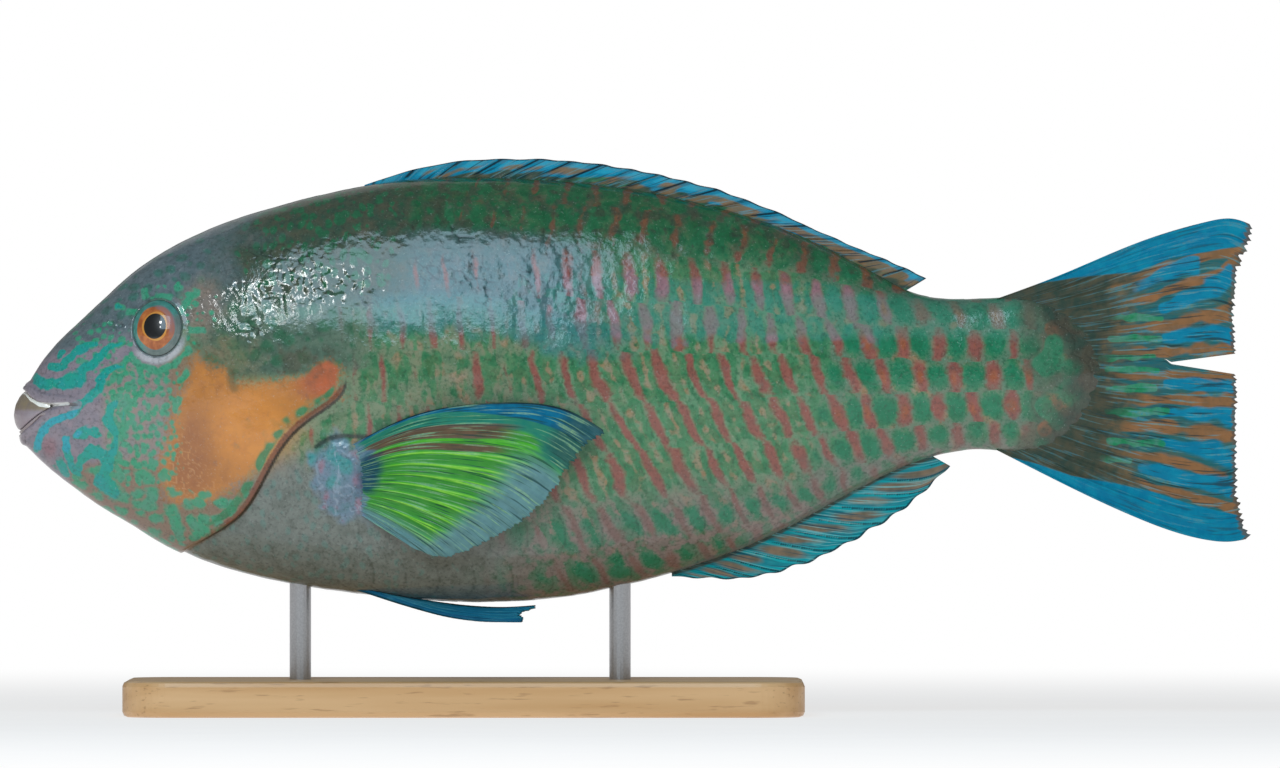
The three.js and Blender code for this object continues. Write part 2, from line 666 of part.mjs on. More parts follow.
function makeBase() {
  const { length, width, thickness, corner, bevel } = STAND;
  const [halfL, halfW] = [length / 2 - bevel, width / 2 - bevel];
  const inner = corner - bevel;
  const shape = new THREE.Shape();
  shape.moveTo(-halfL + inner, -halfW);
  shape.lineTo(halfL - inner, -halfW);
  shape.absarc(halfL - inner, -halfW + inner, inner, -Math.PI / 2, 0, false);
  shape.absarc(halfL - inner, halfW - inner, inner, 0, Math.PI / 2, false);
  shape.absarc(-halfL + inner, halfW - inner, inner, Math.PI / 2, Math.PI, false);
  shape.absarc(-halfL + inner, -halfW + inner, inner, Math.PI, 1.5 * Math.PI, false);
  const options = {
    depth: thickness - 2 * bevel, bevelThickness: bevel, bevelSize: bevel, bevelSegments: 2, curveSegments: 6,
  };
  const geometry = new THREE.ExtrudeGeometry(shape, options);
  geometry.translate(toS(STAND.centreX), 0, floorZ + bevel);
  return rodSpots.reduce((base, spot) => base.subtract(rodAt(spot, GAP)), toSolid(geometry));
}

// Assembly

const trunk = trunkForm(0);
const grownTrunk = trunkForm(GAP);
const torso = rodSpots.reduce(
  (solid, spot) => solid.subtract(rodAt(spot, GAP)),
  trunk.subtract(aheadOfGills(GAP)).subtract(slab(STEM_START, TOTAL_LENGTH)),
);
const stem = trunk.subtract(slab(0, STEM_START + GAP));

const part = new THREE.Group();
const fish = new THREE.Group();
fish.position.set(-TOTAL_LENGTH / 2, 0, AXIS_HEIGHT);
part.add(fish);

addNode(fish, "head", makeHead(), COLOURS.head, 0.35);
addNode(fish, "torso", torso, COLOURS.torso, 0.35);
addNode(fish, "tail_stem", stem, COLOURS.stem, 0.35);
addNode(fish, "beak_upper", upperPlate(), COLOURS.beak, 0.3);
addNode(fish, "beak_lower", lowerPlate(), COLOURS.beak, 0.3);
addNode(fish, "dorsal_fin", dorsalForm().subtract(grownTrunk), COLOURS.blueFin, 0.4);
addNode(fish, "anal_fin", analForm().subtract(grownTrunk), COLOURS.tealFin, 0.4);
addNode(fish, "tail_fin", caudalForm().subtract(grownTrunk), COLOURS.blueFin, 0.4);
for (const [label, side] of [["left", -1], ["right", 1]]) {
  addNode(fish, `eye_${label}`, eyeBall(side, 0), COLOURS.eye, 0.15);
  addNode(fish, `pectoral_fin_${label}`, pectoralForm(side).subtract(grownTrunk), COLOURS.greenFin, 0.4);
  addNode(fish, `pelvic_fin_${label}`, pelvicForm(side).subtract(grownTrunk), COLOURS.blueFin, 0.4);
}
addNode(fish, "stand_base", makeBase(), COLOURS.base, 0.5);
addNode(fish, "stand_rod_front", rodAt(rodSpots[0], 0), COLOURS.rod, 0.3, 0.9);
addNode(fish, "stand_rod_rear", rodAt(rodSpots[1], 0), COLOURS.rod, 0.3, 0.9);

export default part;
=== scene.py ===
import math

import bpy
import numpy as np
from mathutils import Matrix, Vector


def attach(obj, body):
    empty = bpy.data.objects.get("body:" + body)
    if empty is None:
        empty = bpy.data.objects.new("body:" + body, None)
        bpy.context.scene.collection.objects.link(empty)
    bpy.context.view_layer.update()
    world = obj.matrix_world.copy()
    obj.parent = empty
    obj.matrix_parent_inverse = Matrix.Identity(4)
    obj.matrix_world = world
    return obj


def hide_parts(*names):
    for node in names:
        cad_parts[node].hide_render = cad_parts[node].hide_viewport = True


bl_info = {
    "name": "Parrotfish on a display stand",
    "version": (1, 0, 0),
    "blender": (4, 5, 0),
    "location": "3D View > Sidebar > Parrotfish",
    "description": "Skin, beak, eyes, fins, stand finish and stage for the packed model of a parrotfish",
    "category": "Object",
}

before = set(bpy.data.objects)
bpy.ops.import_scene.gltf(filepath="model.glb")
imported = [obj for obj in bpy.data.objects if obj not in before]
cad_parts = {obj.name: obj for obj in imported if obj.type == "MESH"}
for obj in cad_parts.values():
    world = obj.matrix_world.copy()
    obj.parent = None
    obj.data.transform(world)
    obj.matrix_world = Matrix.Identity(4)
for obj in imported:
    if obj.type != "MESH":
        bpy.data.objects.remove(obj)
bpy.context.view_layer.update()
MM = 0.001

# The fish's own frame is in mm: s from the beak to the tail, y across with the left side at -y,
# and z over the body axis. A piece is made there and then set in the row frame.
TOTAL_LENGTH = 348
AXIS_HEIGHT = 92.4

# Body outline and section, as in the solids: [s, value] knots of smooth curves
BACK = [
    [3.2, -0.6], [8.8, 8.1], [18.3, 17.9], [29.5, 28.3], [40.7, 36.7], [57.5, 44.8], [80, 51.9],
    [108, 57.2], [136, 58], [165, 55.9], [195, 50], [220, 41.7], [240, 31.6], [252, 25.8], [264, 24.1],
    [277, 24.4], [292, 22.6], [308, 16.5],
]
BELLY = [
    [3.2, -17.1], [10, -23.5], [18.3, -30], [29.5, -37.2], [40.7, -43.6], [57.5, -50.7], [80, -56.1],
    [108, -59.6], [136, -60.7], [155, -59.1], [175, -54.9], [197.5, -48.2], [220, -38], [242, -26],
    [256, -20.4], [269, -18], [281, -18.6], [292, -17.6], [308, -12.5],
]
HALF_WIDTH = [
    [3.2, 6.6], [10, 9.8], [20, 13.4], [40, 18.4], [60, 21.8], [85, 24.4], [112, 25.2], [140, 24],
    [170, 21.2], [200, 17.2], [230, 12.4], [255, 8.8], [275, 6.6], [292, 4.6], [308, 1.9],
]
UPPER_FULLNESS = [[3, 2.1], [40, 2.25], [90, 2.1], [160, 1.9], [260, 2], [308, 2]]
LOWER_FULLNESS = [[3, 2.1], [40, 2], [90, 2.15], [160, 2.1], [260, 2], [308, 2]]
SNOUT = {"start": 3.2, "tip": 1.3, "level": -12}
BODY_END = 308
STEM_EDGE = [[-24, 284], [-15, 296], [-6, 303], [4, 306], [14, 303], [22, 296], [30, 284]]
GILL_EDGE = [
    [-66, 22], [-56, 34], [-45.4, 49.1], [-37.8, 61.7], [-31.4, 67.3], [-23.8, 71.5], [-16.8, 75.7],
    [-9.8, 82.7], [-4.2, 90.4], [1.6, 93], [7.6, 90.4], [22, 80], [48, 65], [64, 58],
]
GILL_COVER = {"rise": 0.9, "run": 15, "sunk": 0.5, "behind": 7, "level": -14, "full": 22, "faded": 44}

# Eye, beak and mouth, as in the solids
EYE = {"s": 40.3, "z": 16, "along": 7.6, "up": 8.6, "depth": 4.8, "sunk": 2.2}
BEAK = {"s": 11, "z": -8.4, "along": 11, "across": 9.6, "up": 9.7}
BEAK_TOP = [[-2, -0.6], [3, -1.2], [4.8, -3.2], [7, -4.5], [11.2, -5.2]]
BITE_LINE = [[-2, -13.4], [1.3, -12.9], [4.2, -10.4], [6.3, -8.7], [8, -7.5], [11.2, -5.9]]
BEAK_FOOT = [[-2, -14.9], [1.3, -14.4], [4.2, -11.8], [6.3, -9.8], [7.4, -8.6]]
MOUTH_LINE = [[8.2, -7], [11.2, -5.8], [14.5, -5.3], [18.2, -5.5]]
UPPER_LIP = [[3.3, -0.2], [4.2, -1.2], [6.6, -3.2], [10.4, -4], [14.6, -4.4], [18.4, -5.2]]
LOWER_LIP = [[1.9, -15.5], [2.5, -14.8], [5.8, -12.3], [9.4, -8.9], [13.5, -6.9], [18.2, -5.8]]
TOOTH_LINE = [[3, -2.4], [4.4, -4.2], [7, -5.2], [11, -5.5], [15.5, -5.2]]
NOSTRILS = [{"s": 27.4, "z": 17.6, "radius": 0.7}, {"s": 30, "z": 16.7, "radius": 0.9}]
PECTORAL_BASE = {"s": 90.5, "z": -24.5, "along": 12, "up": 13, "out": 4.2, "sunk": 2.8}

# Fins, as in the solids
DORSAL = {
    "rays": 19, "root_start": 97, "root_end": 247, "root_sunk": 3,
    "edge": [
        [96.7, 55.6], [107.9, 59.4], [121.9, 62.6], [135.9, 63.5], [150, 63.4], [168, 61.5], [186, 58],
        [197, 55], [215, 48], [236, 38.6], [249, 33.2], [255.5, 30],
    ],
    "lean": [[0, 1], [0.12, 12], [0.5, 17], [0.85, 15], [1, 8.5]],
}
ANAL = {
    "rays": 12,
    "root": [
        [184, -50], [197.5, -45], [208.7, -40.5], [220, -34.5], [231, -28.5], [242, -22.5], [254.6, -18.5],
    ],
    "edge": [
        [184, -53.8], [195, -54.6], [207, -54.2], [221.8, -50.4], [238.8, -42.2], [249.2, -35.2],
        [256, -29.7], [262.2, -22.8],
    ],
}
CAUDAL = {
    "rays": 15,
    "upper": [[275, 24.2], [292.7, 30.8], [315, 40.1], [334, 45.8], [341, 46.6], [348, 44]],
    "lower": [[275, -18.2], [292.7, -27.2], [315, -37.5], [334, -43.4], [341, -43.8], [346.5, -42.7]],
    "root": [[275, 24.2], [288, 21], [296, 12], [298, 3], [296, -6], [288, -14.5], [275, -18.2]],
    "rear": [[348, 44], [345.4, 37.8], [342.7, 28], [342.6, 2], [342.8, -22], [344, -33.6], [346.5, -42.7]],
}
SLIT = {"s": 322, "z": 6.2, "rear": 342.7, "up": 2.7, "down": 3.3}
PECTORAL = {
    "rays": 14,
    "root": [[92.5, -18], [94.6, -27], [97.3, -35.6]],
    "upper": [[92.5, -18], [113.5, -8], [136, -4.9], [155.5, -7.2], [166.2, -13.4]],
    "lower": [[97.3, -35.6], [104, -40.4], [112.1, -45.4]],
    "rear": [
        [166.2, -13.4], [159, -19], [152.7, -28], [142.9, -38], [130.3, -45], [120, -48], [112.1, -45.4],
    ],
    "root_sunk": 1.2, "stand_off": 4.6, "leading_bow": 2.6, "bow_peak": 0.62,
}
PELVIC = {
    "rays": 6,
    "spine": [[96, 5.5, -56.6], [113, 8.4, -62.2], [130, 10.6, -65.5], [144, 11.6, -65.9]],
    "inner": [[99, 2.6, -57], [118, 2.6, -61.2], [134, 3, -62.6], [147, 3.6, -62]],
    "rear_notch": 0.07,
}

# Scale rows: the number of scales passed along the side, their slant below the midline and their spacing
SCALES_ALONG = [
    [20, -16], [79, -9], [104, -6], [129.5, -3], [154.7, 0], [181.2, 3], [208, 6], [233.8, 9], [253.6, 11],
    [274.1, 13], [308, 16.4],
]
ROW_SLANT = [[60, 0], [130, 0.03], [165, 0.18], [190, 0.24], [215, 0.18], [240, 0.07], [262, 0], [308, 0]]
ROW_SPACING = [[40, 13.6], [185, 13.6], [215, 11.8], [248, 9.4], [308, 9]]
MIDDLE_ROW = 2.6
SCALE = {"rear": -0.17, "along": 1.0, "across": 0.8, "rim": 0.9}

# Brush marks of the face in mm: [s, z, half width] along each stroke
TEAL_STROKES = [
    [[5.7, 2.5, 1], [8.7, 0.4, 1.5], [14.1, 0.4, 1.7], [18.2, 1.8, 2.2], [20.1, 4.4, 1.6], [23.3, 6.9, 1.3],
     [26.1, 9.9, 1.1], [30.8, 12.2, 1]],
    [[9.9, 5.3, 0.9], [13.6, 4.8, 1.1], [15, 6.7, 1.1], [17.3, 9, 1.1], [19.2, 9.9, 1], [22.9, 11.8, 0.7]],
    [[12.7, 7.6, 0.8], [13.8, 9.2, 0.8]],
    [[24, 1.6, 1.3], [26.1, 3.9, 1.2], [28.5, 4.8, 1.2], [30.8, 4.9, 1.1], [31.6, 6.9, 1], [33.1, 7.6, 1],
     [35.9, 5.3, 1.1], [40.5, 3.9, 1.2], [45.2, 5.7, 1.1], [48, 8.5, 0.9], [49.3, 9.9, 0.9]],
    [[35.4, 4.8, 1], [35.9, 0.6, 1]],
    [[17.8, -5.9, 1.2], [21, -4, 1.3], [23.8, -1.7, 1.4], [24.7, 1.1, 1.2]],
    [[6.4, -17.5, 1.2], [6.9, -15.1, 1.2], [9, -11.4, 1.3], [11.3, -9.6, 1.2], [15, -8.9, 1],
     [17.3, -7.3, 1.2], [18.7, -4.9, 1.2]],
    [[15, -15.1, 1.2], [15, -18.4, 1.1], [17, -24, 1]],
    [[18.2, -14.2, 1.2], [20.6, -12.4, 1.4], [23.3, -13.3, 1.2]],
    [[17.8, -24.4, 1.1], [18.7, -21.2, 1.1], [21.5, -17.9, 1.6], [24.7, -19.3, 2], [26.6, -22.6, 1.8],
     [25.2, -24.9, 1.3]],
    [[26.6, -22.6, 1.6], [28.5, -17.5, 1.3], [28.9, -13.3, 1.5], [26.6, -9.6, 1.7], [27.5, -6.3, 1.2],
     [28.9, -4.9, 1]],
    [[31.2, -9.6, 1.2], [31.2, -6.8, 1.2], [33.6, -4.5, 1.3], [34.5, -3.5, 1]],
    [[24.7, -26.8, 2.3], [28.5, -30, 2.6]],
    [[36.8, -33.7, 1.6], [39.6, -30.9, 1.4]],
    [[13, -22.4, 1.7], [14.4, -24.2, 1.4]],
    [[36.3, 26.2, 1.1], [36.7, 24.6, 1.2]],
    [[40.6, 24.9, 1.1], [43, 24.6, 1.2]],
    [[51.2, 25.9, 1.5], [48.6, 23.6, 1.3], [47.6, 20.6, 1]],
    [[32.4, 20.1, 1.1], [34.4, 20.1, 1]],
    [[29.2, 21.6, 1.1], [30.4, 21.2, 0.9]],
    [[46.1, 27.6, 1.1], [46.6, 27.4, 1]],
    [[49.8, 15, 1.1], [53.1, 15.3, 1]],
    [[46.6, 1.2, 1.1], [49, 3.6, 1.2]],
    [[45.4, -6.8, 1], [46.2, -3.8, 1.1]],
    [[50, -37.6, 1.6], [53.6, -40.4, 2]],
    [[56.6, -37.4, 1.4], [58.6, -39.2, 1.6]],
    [[44.6, -37.6, 1.2], [46.8, -40.6, 1.8]],
    [[60.6, -32.6, 1.1], [61.4, -35.6, 1.2]],
]
CHEEK_PATCH = [
    [51.6, 9], [47.7, 2.4], [45.5, -4.3], [44.4, -9.8], [42.7, -17.5], [40.5, -23], [40, -28.6], [46, -33.4],
    [54.9, -33], [60.4, -30.3], [63.7, -28], [71.5, -20.9], [75.4, -14.8], [81.5, -8.1], [85.9, -4.8],
    [92, -3.1], [90.5, 4.5], [87.5, 6.8], [82, 2.6], [73.7, 1.8], [67.1, 0.4], [62.6, -0.4], [59.3, 4.6],
    [54.9, 6.8],
]

SIDES = {"left": -1, "right": 1}


class SkinSettings(bpy.types.PropertyGroup):
    columns: bpy.props.IntProperty(
        name="Columns", description="Points from the belly's midline up to the back's, on one side",
        default=300, min=40, max=600)
    step: bpy.props.FloatProperty(
        name="Step", description="Distance between rings along the trunk, in millimetres",
        default=0.5, min=0.2, max=5)
    scale_height: bpy.props.FloatProperty(
        name="Scale height", description="How far a scale's rear edge stands over its front, in millimetres",
        default=0.17, min=0, max=2)
    wetness: bpy.props.FloatProperty(
        name="Wetness", description="Weight of the clear wet film over the skin",
        default=1.0, min=0, max=1, subtype="FACTOR")


class FinSettings(bpy.types.PropertyGroup):
    columns_per_ray: bpy.props.IntProperty(
        name="Columns per ray", description="Points across each fin ray and its web",
        default=14, min=4, max=30)
    row_step: bpy.props.FloatProperty(
        name="Row step", description="Distance between rows along a fin ray, in millimetres",
        default=0.5, min=0.2, max=5)


def linear(hex_colour):
    """An sRGB hex colour as linear red, green, blue and full alpha."""
    values = [int(hex_colour[i:i + 2], 16) / 255 for i in (1, 3, 5)]
    return [v / 12.92 if v <= 0.04045 else ((v + 0.055) / 1.055)**2.4 for v in values] + [1.0]


class StandSettings(bpy.types.PropertyGroup):
    wood_dark: bpy.props.FloatVectorProperty(
        name="Dark wood", description="Colour of the beech's darker grain",
        default=linear("#cd9c66"), min=0, max=1, size=4, subtype="COLOR")
    wood_pale: bpy.props.FloatVectorProperty(
        name="Pale wood", description="Colour of the beech's paler grain",
        default=linear("#e0b482"), min=0, max=1, size=4, subtype="COLOR")


class StageSettings(bpy.types.PropertyGroup):
    camera_distance: bpy.props.FloatProperty(
        name="Camera distance", description="From the lens to the middle of the fish",
        default=5.0, min=0.5, unit="LENGTH")
    floor_radius: bpy.props.FloatProperty(
        name="Floor radius", description="Radius of the pale floor", default=12.0, min=1, unit="LENGTH")
    softbox_power: bpy.props.FloatProperty(
        name="Softbox power", description="Power of the large light over the camera",
        default=5.0, min=0, subtype="POWER")
    softbox_colour: bpy.props.FloatVectorProperty(
        name="Softbox colour", description="Linear colour of that light, a cool daylight",
        default=(0.58, 0.83, 1.0), min=0, max=1, size=3, subtype="COLOR")


# Curves and fields

def spline(knots):
    """A natural cubic spline through [position, value] knots, held straight past its ends."""
    x, y = np.array(knots, float).T
    count = len(x)
    h = np.diff(x)
    system, load = np.eye(count), np.zeros(count)
    for i in range(1, count - 1):
        system[i, i - 1:i + 2] = h[i - 1], 2 * (h[i - 1] + h[i]), h[i]
        load[i] = 6 * ((y[i + 1] - y[i]) / h[i] - (y[i] - y[i - 1]) / h[i - 1])
    bend = np.linalg.solve(system, load)

    def at(where):
        t = np.clip(where, x[0], x[-1])
        i = np.clip(np.searchsorted(x, t, side="right") - 1, 0, count - 2)
        a, b = (x[i + 1] - t) / h[i], (t - x[i]) / h[i]
        return a * y[i] + b * y[i + 1] + ((a**3 - a) * bend[i] + (b**3 - b) * bend[i + 1]) * h[i]**2 / 6

    return at


def straight(knots, where):
    """The value at a place on a line of straight stretches through [position, value] knots."""
    return np.interp(where, *np.array(knots, float).T)


def path(points):
    """A smooth path through points of any dimension, over 0 to 1 by chord length."""
    points = np.array(points, float)
    along = np.concatenate([[0], np.cumsum(np.linalg.norm(np.diff(points, axis=0), axis=1))])
    axes = [spline(np.column_stack([along / along[-1], column])) for column in points.T]
    return lambda t: np.stack([axis(t) for axis in axes], axis=-1)


def patch(root, rear, first, last):
    """A surface between four edge paths that share their corners: root and rear run with u."""
    def at(u, v):
        a, b = u[..., None], v[..., None]
        sides = (1 - b) * root(u) + b * rear(u) + (1 - a) * first(v) + a * last(v)
        near = (1 - a) * root(0.0 * u) + a * root(0.0 * u + 1)
        far = (1 - a) * rear(0.0 * u) + a * rear(0.0 * u + 1)
        return sides - (1 - b) * near - b * far
    return at


def smooth(low, high, value):
    """0 where value is at low or past it, 1 where it is at high or past it, and an even rise between."""
    t = np.clip((value - low) / (high - low), 0, 1)
    return t * t * (3 - 2 * t)


def mix(a, b, t):
    """The value a share t of the way from a to b."""
    return a + (b - a) * t


def wobble(points, size, seed):
    """Smooth noise from -1 to 1 at points, with features about size mm across."""
    table = np.random.default_rng(seed).uniform(-1, 1, (32, 32, 32))
    q = points / size
    cell = np.floor(q).astype(int)
    f = q - cell
    f = f * f * (3 - 2 * f)
    total = 0
    for corner in np.ndindex(2, 2, 2):
        weight = np.prod(np.where(corner, f, 1 - f), axis=-1)
        x, y, z = np.moveaxis((cell + corner) % 32, -1, 0)
        total = total + weight * table[x, y, z]
    return total


def blotch(points, size, seed):
    """Rounded noise of no direction, about -1 to 1, with patches about size mm across."""
    turned = points @ [[0.6, 0.64, 0.48], [-0.8, 0.48, 0.36], [0, -0.6, 0.8]]
    return 0.75 * (wobble(points, size, seed) + wobble(turned, 0.83 * size, seed + 100))


def stroke_field(s, z, points):
    """1 on the middle line of a stroke of [s, z, half width] points, 0 at its edge and negative outside."""
    best = np.full(s.shape, -9.0)
    for (s0, z0, r0), (s1, z1, r1) in zip(points, points[1:]):
        ds, dz = s1 - s0, z1 - z0
        t = np.clip(((s - s0) * ds + (z - z0) * dz) / (ds * ds + dz * dz), 0, 1)
        away = np.hypot(s - s0 - t * ds, z - z0 - t * dz)
        best = np.maximum(best, 1 - away / mix(r0, r1, t))
    return best


def strokes_field(s, z, strokes):
    """The highest of the fields of several strokes."""
    return np.max([stroke_field(s, z, points) for points in strokes], axis=0)


def line_distance(s, z, points):
    """Distance in mm to a line of [s, z] points in side view."""
    return 1 - stroke_field(s, z, [[*p, 1] for p in points])


def inside_distance(s, z, outline):
    """Distance in mm to a closed outline in side view, positive inside."""
    away = line_distance(s, z, [*outline, outline[0]])
    odd = np.zeros(s.shape, bool)
    for (s0, z0), (s1, z1) in zip(outline, [*outline[1:], outline[0]]):
        if z0 != z1:
            crosses = ((z0 > z) != (z1 > z)) & (s < s0 + (z - z0) * (s1 - s0) / (z1 - z0))
            odd ^= crosses
    return np.where(odd, away, -away)


# Body surface

back_line, belly_line, half_width = spline(BACK), spline(BELLY), spline(HALF_WIDTH)
upper_fullness, lower_fullness = spline(UPPER_FULLNESS), spline(LOWER_FULLNESS)
gill_edge, stem_edge = spline(GILL_EDGE), spline(STEM_EDGE)


def section(s):
    """Level, height above, depth below, half width and the two fullnesses of the body at s."""
    inside = np.maximum(s, SNOUT["start"])
    depth = np.clip((SNOUT["start"] - s) / (SNOUT["start"] - SNOUT["tip"]), 0, 1)
    shrink = np.sqrt(1 - depth * depth)
    top = mix(SNOUT["level"], back_line(inside), shrink)
    bottom = mix(SNOUT["level"], belly_line(inside), shrink)
    level = (top + bottom) / 2
    width = half_width(inside) * shrink
    return level, top - level, level - bottom, width, upper_fullness(inside), lower_fullness(inside)


def flank(s, z):
    """Half width of the body at side-view point (s, z), or 0 outside the outline."""
    level, up, down, width, upper, lower = section(s)
    share = np.abs(z - level) / np.where(z > level, up, down)
    fullness = np.where(z > level, upper, lower)
    return np.where(share >= 1, 0, width * (1 - np.minimum(share, 1)**fullness)**(1 / fullness))


def outward(s, z, side):
    """Unit direction away from the flank at (s, z), on side -1 or 1."""
    probe = 0.5
    slope_s = flank(s + probe, z) - flank(s - probe, z)
    slope_z = flank(s, z + probe) - flank(s, z - probe)
    away = np.stack([-slope_s, side * np.ones_like(slope_s), -slope_z], axis=-1)
    return away / np.linalg.norm(away, axis=-1, keepdims=True)


def flank_axes(s, z, side):
    """A point of the flank and the directions along the body, up and outward there."""
    out = outward(np.array(float(s)), np.array(float(z)), side)
    along = np.array([1.0, 0, 0]) - out * out[0]
    along /= np.linalg.norm(along)
    up = np.cross(out, along) * side
    up *= np.sign(up[2])
    return np.array([s, side * float(flank(s, z)), z]), along, up, out


# Meshes

def grid_faces(rows, columns, wrap=False):
    """Quads of a grid of points stored row by row, closed round when wrap is set."""
    r, c = np.meshgrid(np.arange(rows - 1), np.arange(columns if wrap else columns - 1), indexing="ij")
    a, b = r * columns + c, r * columns + (c + 1) % columns
    return np.stack([a, b, b + columns, a + columns], axis=-1).reshape(-1, 4)


def closed_tube(rings, fields):
    """Points, quads and end triangles of a tube through closed rings, and its fields, a value per point."""
    count, size = rings.shape[:2]
    points = np.vstack([rings.reshape(-1, 3), rings[0].mean(axis=0), rings[-1].mean(axis=0)])
    here = np.arange(size)
    following = (here + 1) % size
    last = (count - 1) * size
    fans = np.vstack([
        np.column_stack([following, here, np.full(size, count * size)]),
        np.column_stack([here + last, following + last, np.full(size, count * size + 1)])])
    flat = {name: np.append(values, [values[0, 0], values[-1, 0]]) for name, values in fields.items()}
    return points, grid_faces(count, size, wrap=True), fans, flat


def flipped_if_inside_out(points, quads, triangles):
    """The faces, turned over when they enclose a negative volume."""
    tris = np.vstack([quads[:, [0, 1, 2]], quads[:, [0, 2, 3]], triangles])
    a, b, c = points[tris[:, 0]], points[tris[:, 1]], points[tris[:, 2]]
    if np.einsum("ij,ij->i", a, np.cross(b, c)).sum() < 0:
        return quads[:, ::-1], triangles[:, ::-1]
    return quads, triangles


def add_piece(name, points, quads, triangles=None, material=None, fields=None, replaces=()):
    """A smooth mesh from points in the fish's frame, riding on the only body, in place of some CAD nodes."""
    triangles = np.zeros((0, 3), int) if triangles is None else triangles
    quads, triangles = flipped_if_inside_out(points, quads, triangles)
    mesh = bpy.data.meshes.new(name)
    world = (points + [-TOTAL_LENGTH / 2, 0, AXIS_HEIGHT]) * MM
    mesh.vertices.add(len(world))
    mesh.vertices.foreach_set("co", world.astype(np.float32).ravel())
    loops = np.concatenate([quads.ravel(), triangles.ravel()])
    starts = np.concatenate([np.arange(len(quads)) * 4, quads.size + np.arange(len(triangles)) * 3])
    mesh.loops.add(len(loops))
    mesh.loops.foreach_set("vertex_index", loops.astype(np.int32))
    mesh.polygons.add(len(starts))
    mesh.polygons.foreach_set("loop_start", starts.astype(np.int32))
    mesh.polygons.foreach_set("use_smooth", np.ones(len(starts), bool))
    mesh.update(calc_edges=True)
    mesh.validate()
    for field, values in (fields or {}).items():
        layer = mesh.attributes.new(field, "FLOAT", "POINT")
        layer.data.foreach_set("value", np.asarray(values, np.float32).ravel())
    mesh.materials.append(material)
    piece = bpy.data.objects.new(name, mesh)
    bpy.context.scene.collection.objects.link(piece)
    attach(piece, "root")
    if replaces:
        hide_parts(*replaces)
    return piece


def plate_mesh(middle, away, half, index=None):
    """Points and quads of a thin closed plate over a grid of middle points, offset by half to both sides.

    An index grid may weld points of the grid together. Grid cells between two welded columns are left out.
    """
    rows, columns = half.shape
    index = np.arange(rows * columns).reshape(rows, columns) if index is None else index
    faces = np.stack([index[:-1, :-1], index[:-1, 1:], index[1:, 1:], index[1:, :-1]], axis=-1)
    faces = faces[:, (index[0, :-1] != index[0, 1:])].reshape(-1, 4)
    count = rows * columns
    starts, ends = faces.ravel(), np.roll(faces, -1, axis=1).ravel()
    alone = ~np.isin(starts * count + ends, ends * count + starts)
    a, b = starts[alone], ends[alone]
    walls = np.column_stack([b, a, a + count, b + count])
    front = (middle + away * half[..., None]).reshape(-1, 3)
    rear = (middle - away * half[..., None]).reshape(-1, 3)
    quads = np.vstack([faces, faces[:, ::-1] + count, walls])
    used, quads = np.unique(quads, return_inverse=True)
    return np.vstack([front, rear])[used], quads.reshape(-1, 4), used % count


# Materials

def add_node(tree, kind, settings=None, links=None):
    """A node with its settings, which are properties or input values, and links into its inputs."""
    node = tree.nodes.new(kind)
    for key, value in (settings or {}).items():
        if isinstance(key, str) and hasattr(node, key):
            setattr(node, key, value)
        else:
            node.inputs[key].default_value = value
    for key, output in (links or {}).items():
        tree.links.new(output, node.inputs[key])
    return node


def new_material(name, **shader):
    """An empty node material and its Principled shader with uniform values set on its sockets."""
    material = bpy.data.materials.new(name)
    material.use_nodes = True
    tree = material.node_tree
    tree.nodes.clear()
    principled = add_node(tree, "ShaderNodeBsdfPrincipled", shader)
    add_node(tree, "ShaderNodeOutputMaterial", links={"Surface": principled.outputs["BSDF"]})
    return material, tree, principled


def noise_output(tree, size_mm, detail=3.0, rough=0.55, seed=0.0):
    """Grey noise over the piece's own place, with features about size_mm across."""
    place = add_node(tree, "ShaderNodeNewGeometry").outputs["Position"]
    offset = add_node(
        tree, "ShaderNodeVectorMath", {"operation": "ADD", 1: (seed, seed, seed)}, {0: place}).outputs[0]
    return add_node(
        tree, "ShaderNodeTexNoise", {"Scale": 1 / (size_mm * MM), "Detail": detail, "Roughness": rough},
        {"Vector": offset}).outputs["Fac"]


def two_tone(tree, pair, factor, low=0.35, high=0.65):
    """A colour that goes from the first of the pair to the second as factor passes from low to high.

    The pair's colours are sRGB hex words, or linear ones from a setting.
    """
    first, second = (linear(colour) if isinstance(colour, str) else colour for colour in pair)
    share = add_node(
        tree, "ShaderNodeMapRange", {"From Min": low, "From Max": high}, {"Value": factor}).outputs[0]
    return add_node(
        tree, "ShaderNodeMix", {"data_type": "RGBA", 6: first, 7: second}, {0: share}).outputs[2]


def lay_over(tree, base, field, colour, edge, breakup, spread, strength=1.0):
    """Lays a colour over base where a field, broken up by noise, rises from edge[0] to edge[1]."""
    value = add_node(tree, "ShaderNodeAttribute", {"attribute_name": field}).outputs["Fac"]
    broken = add_node(
        tree, "ShaderNodeMath", {"operation": "MULTIPLY_ADD", 1: spread}, {0: breakup, 2: value}).outputs[0]
    mask = add_node(
        tree, "ShaderNodeMapRange",
        {"interpolation_type": "SMOOTHSTEP", "From Min": edge[0] + spread / 2,
         "From Max": edge[1] + spread / 2, "To Max": strength},
        {"Value": broken}).outputs[0]
    return add_node(
        tree, "ShaderNodeMix", {"data_type": "RGBA"}, {0: mask, 6: base, 7: colour}).outputs[2]


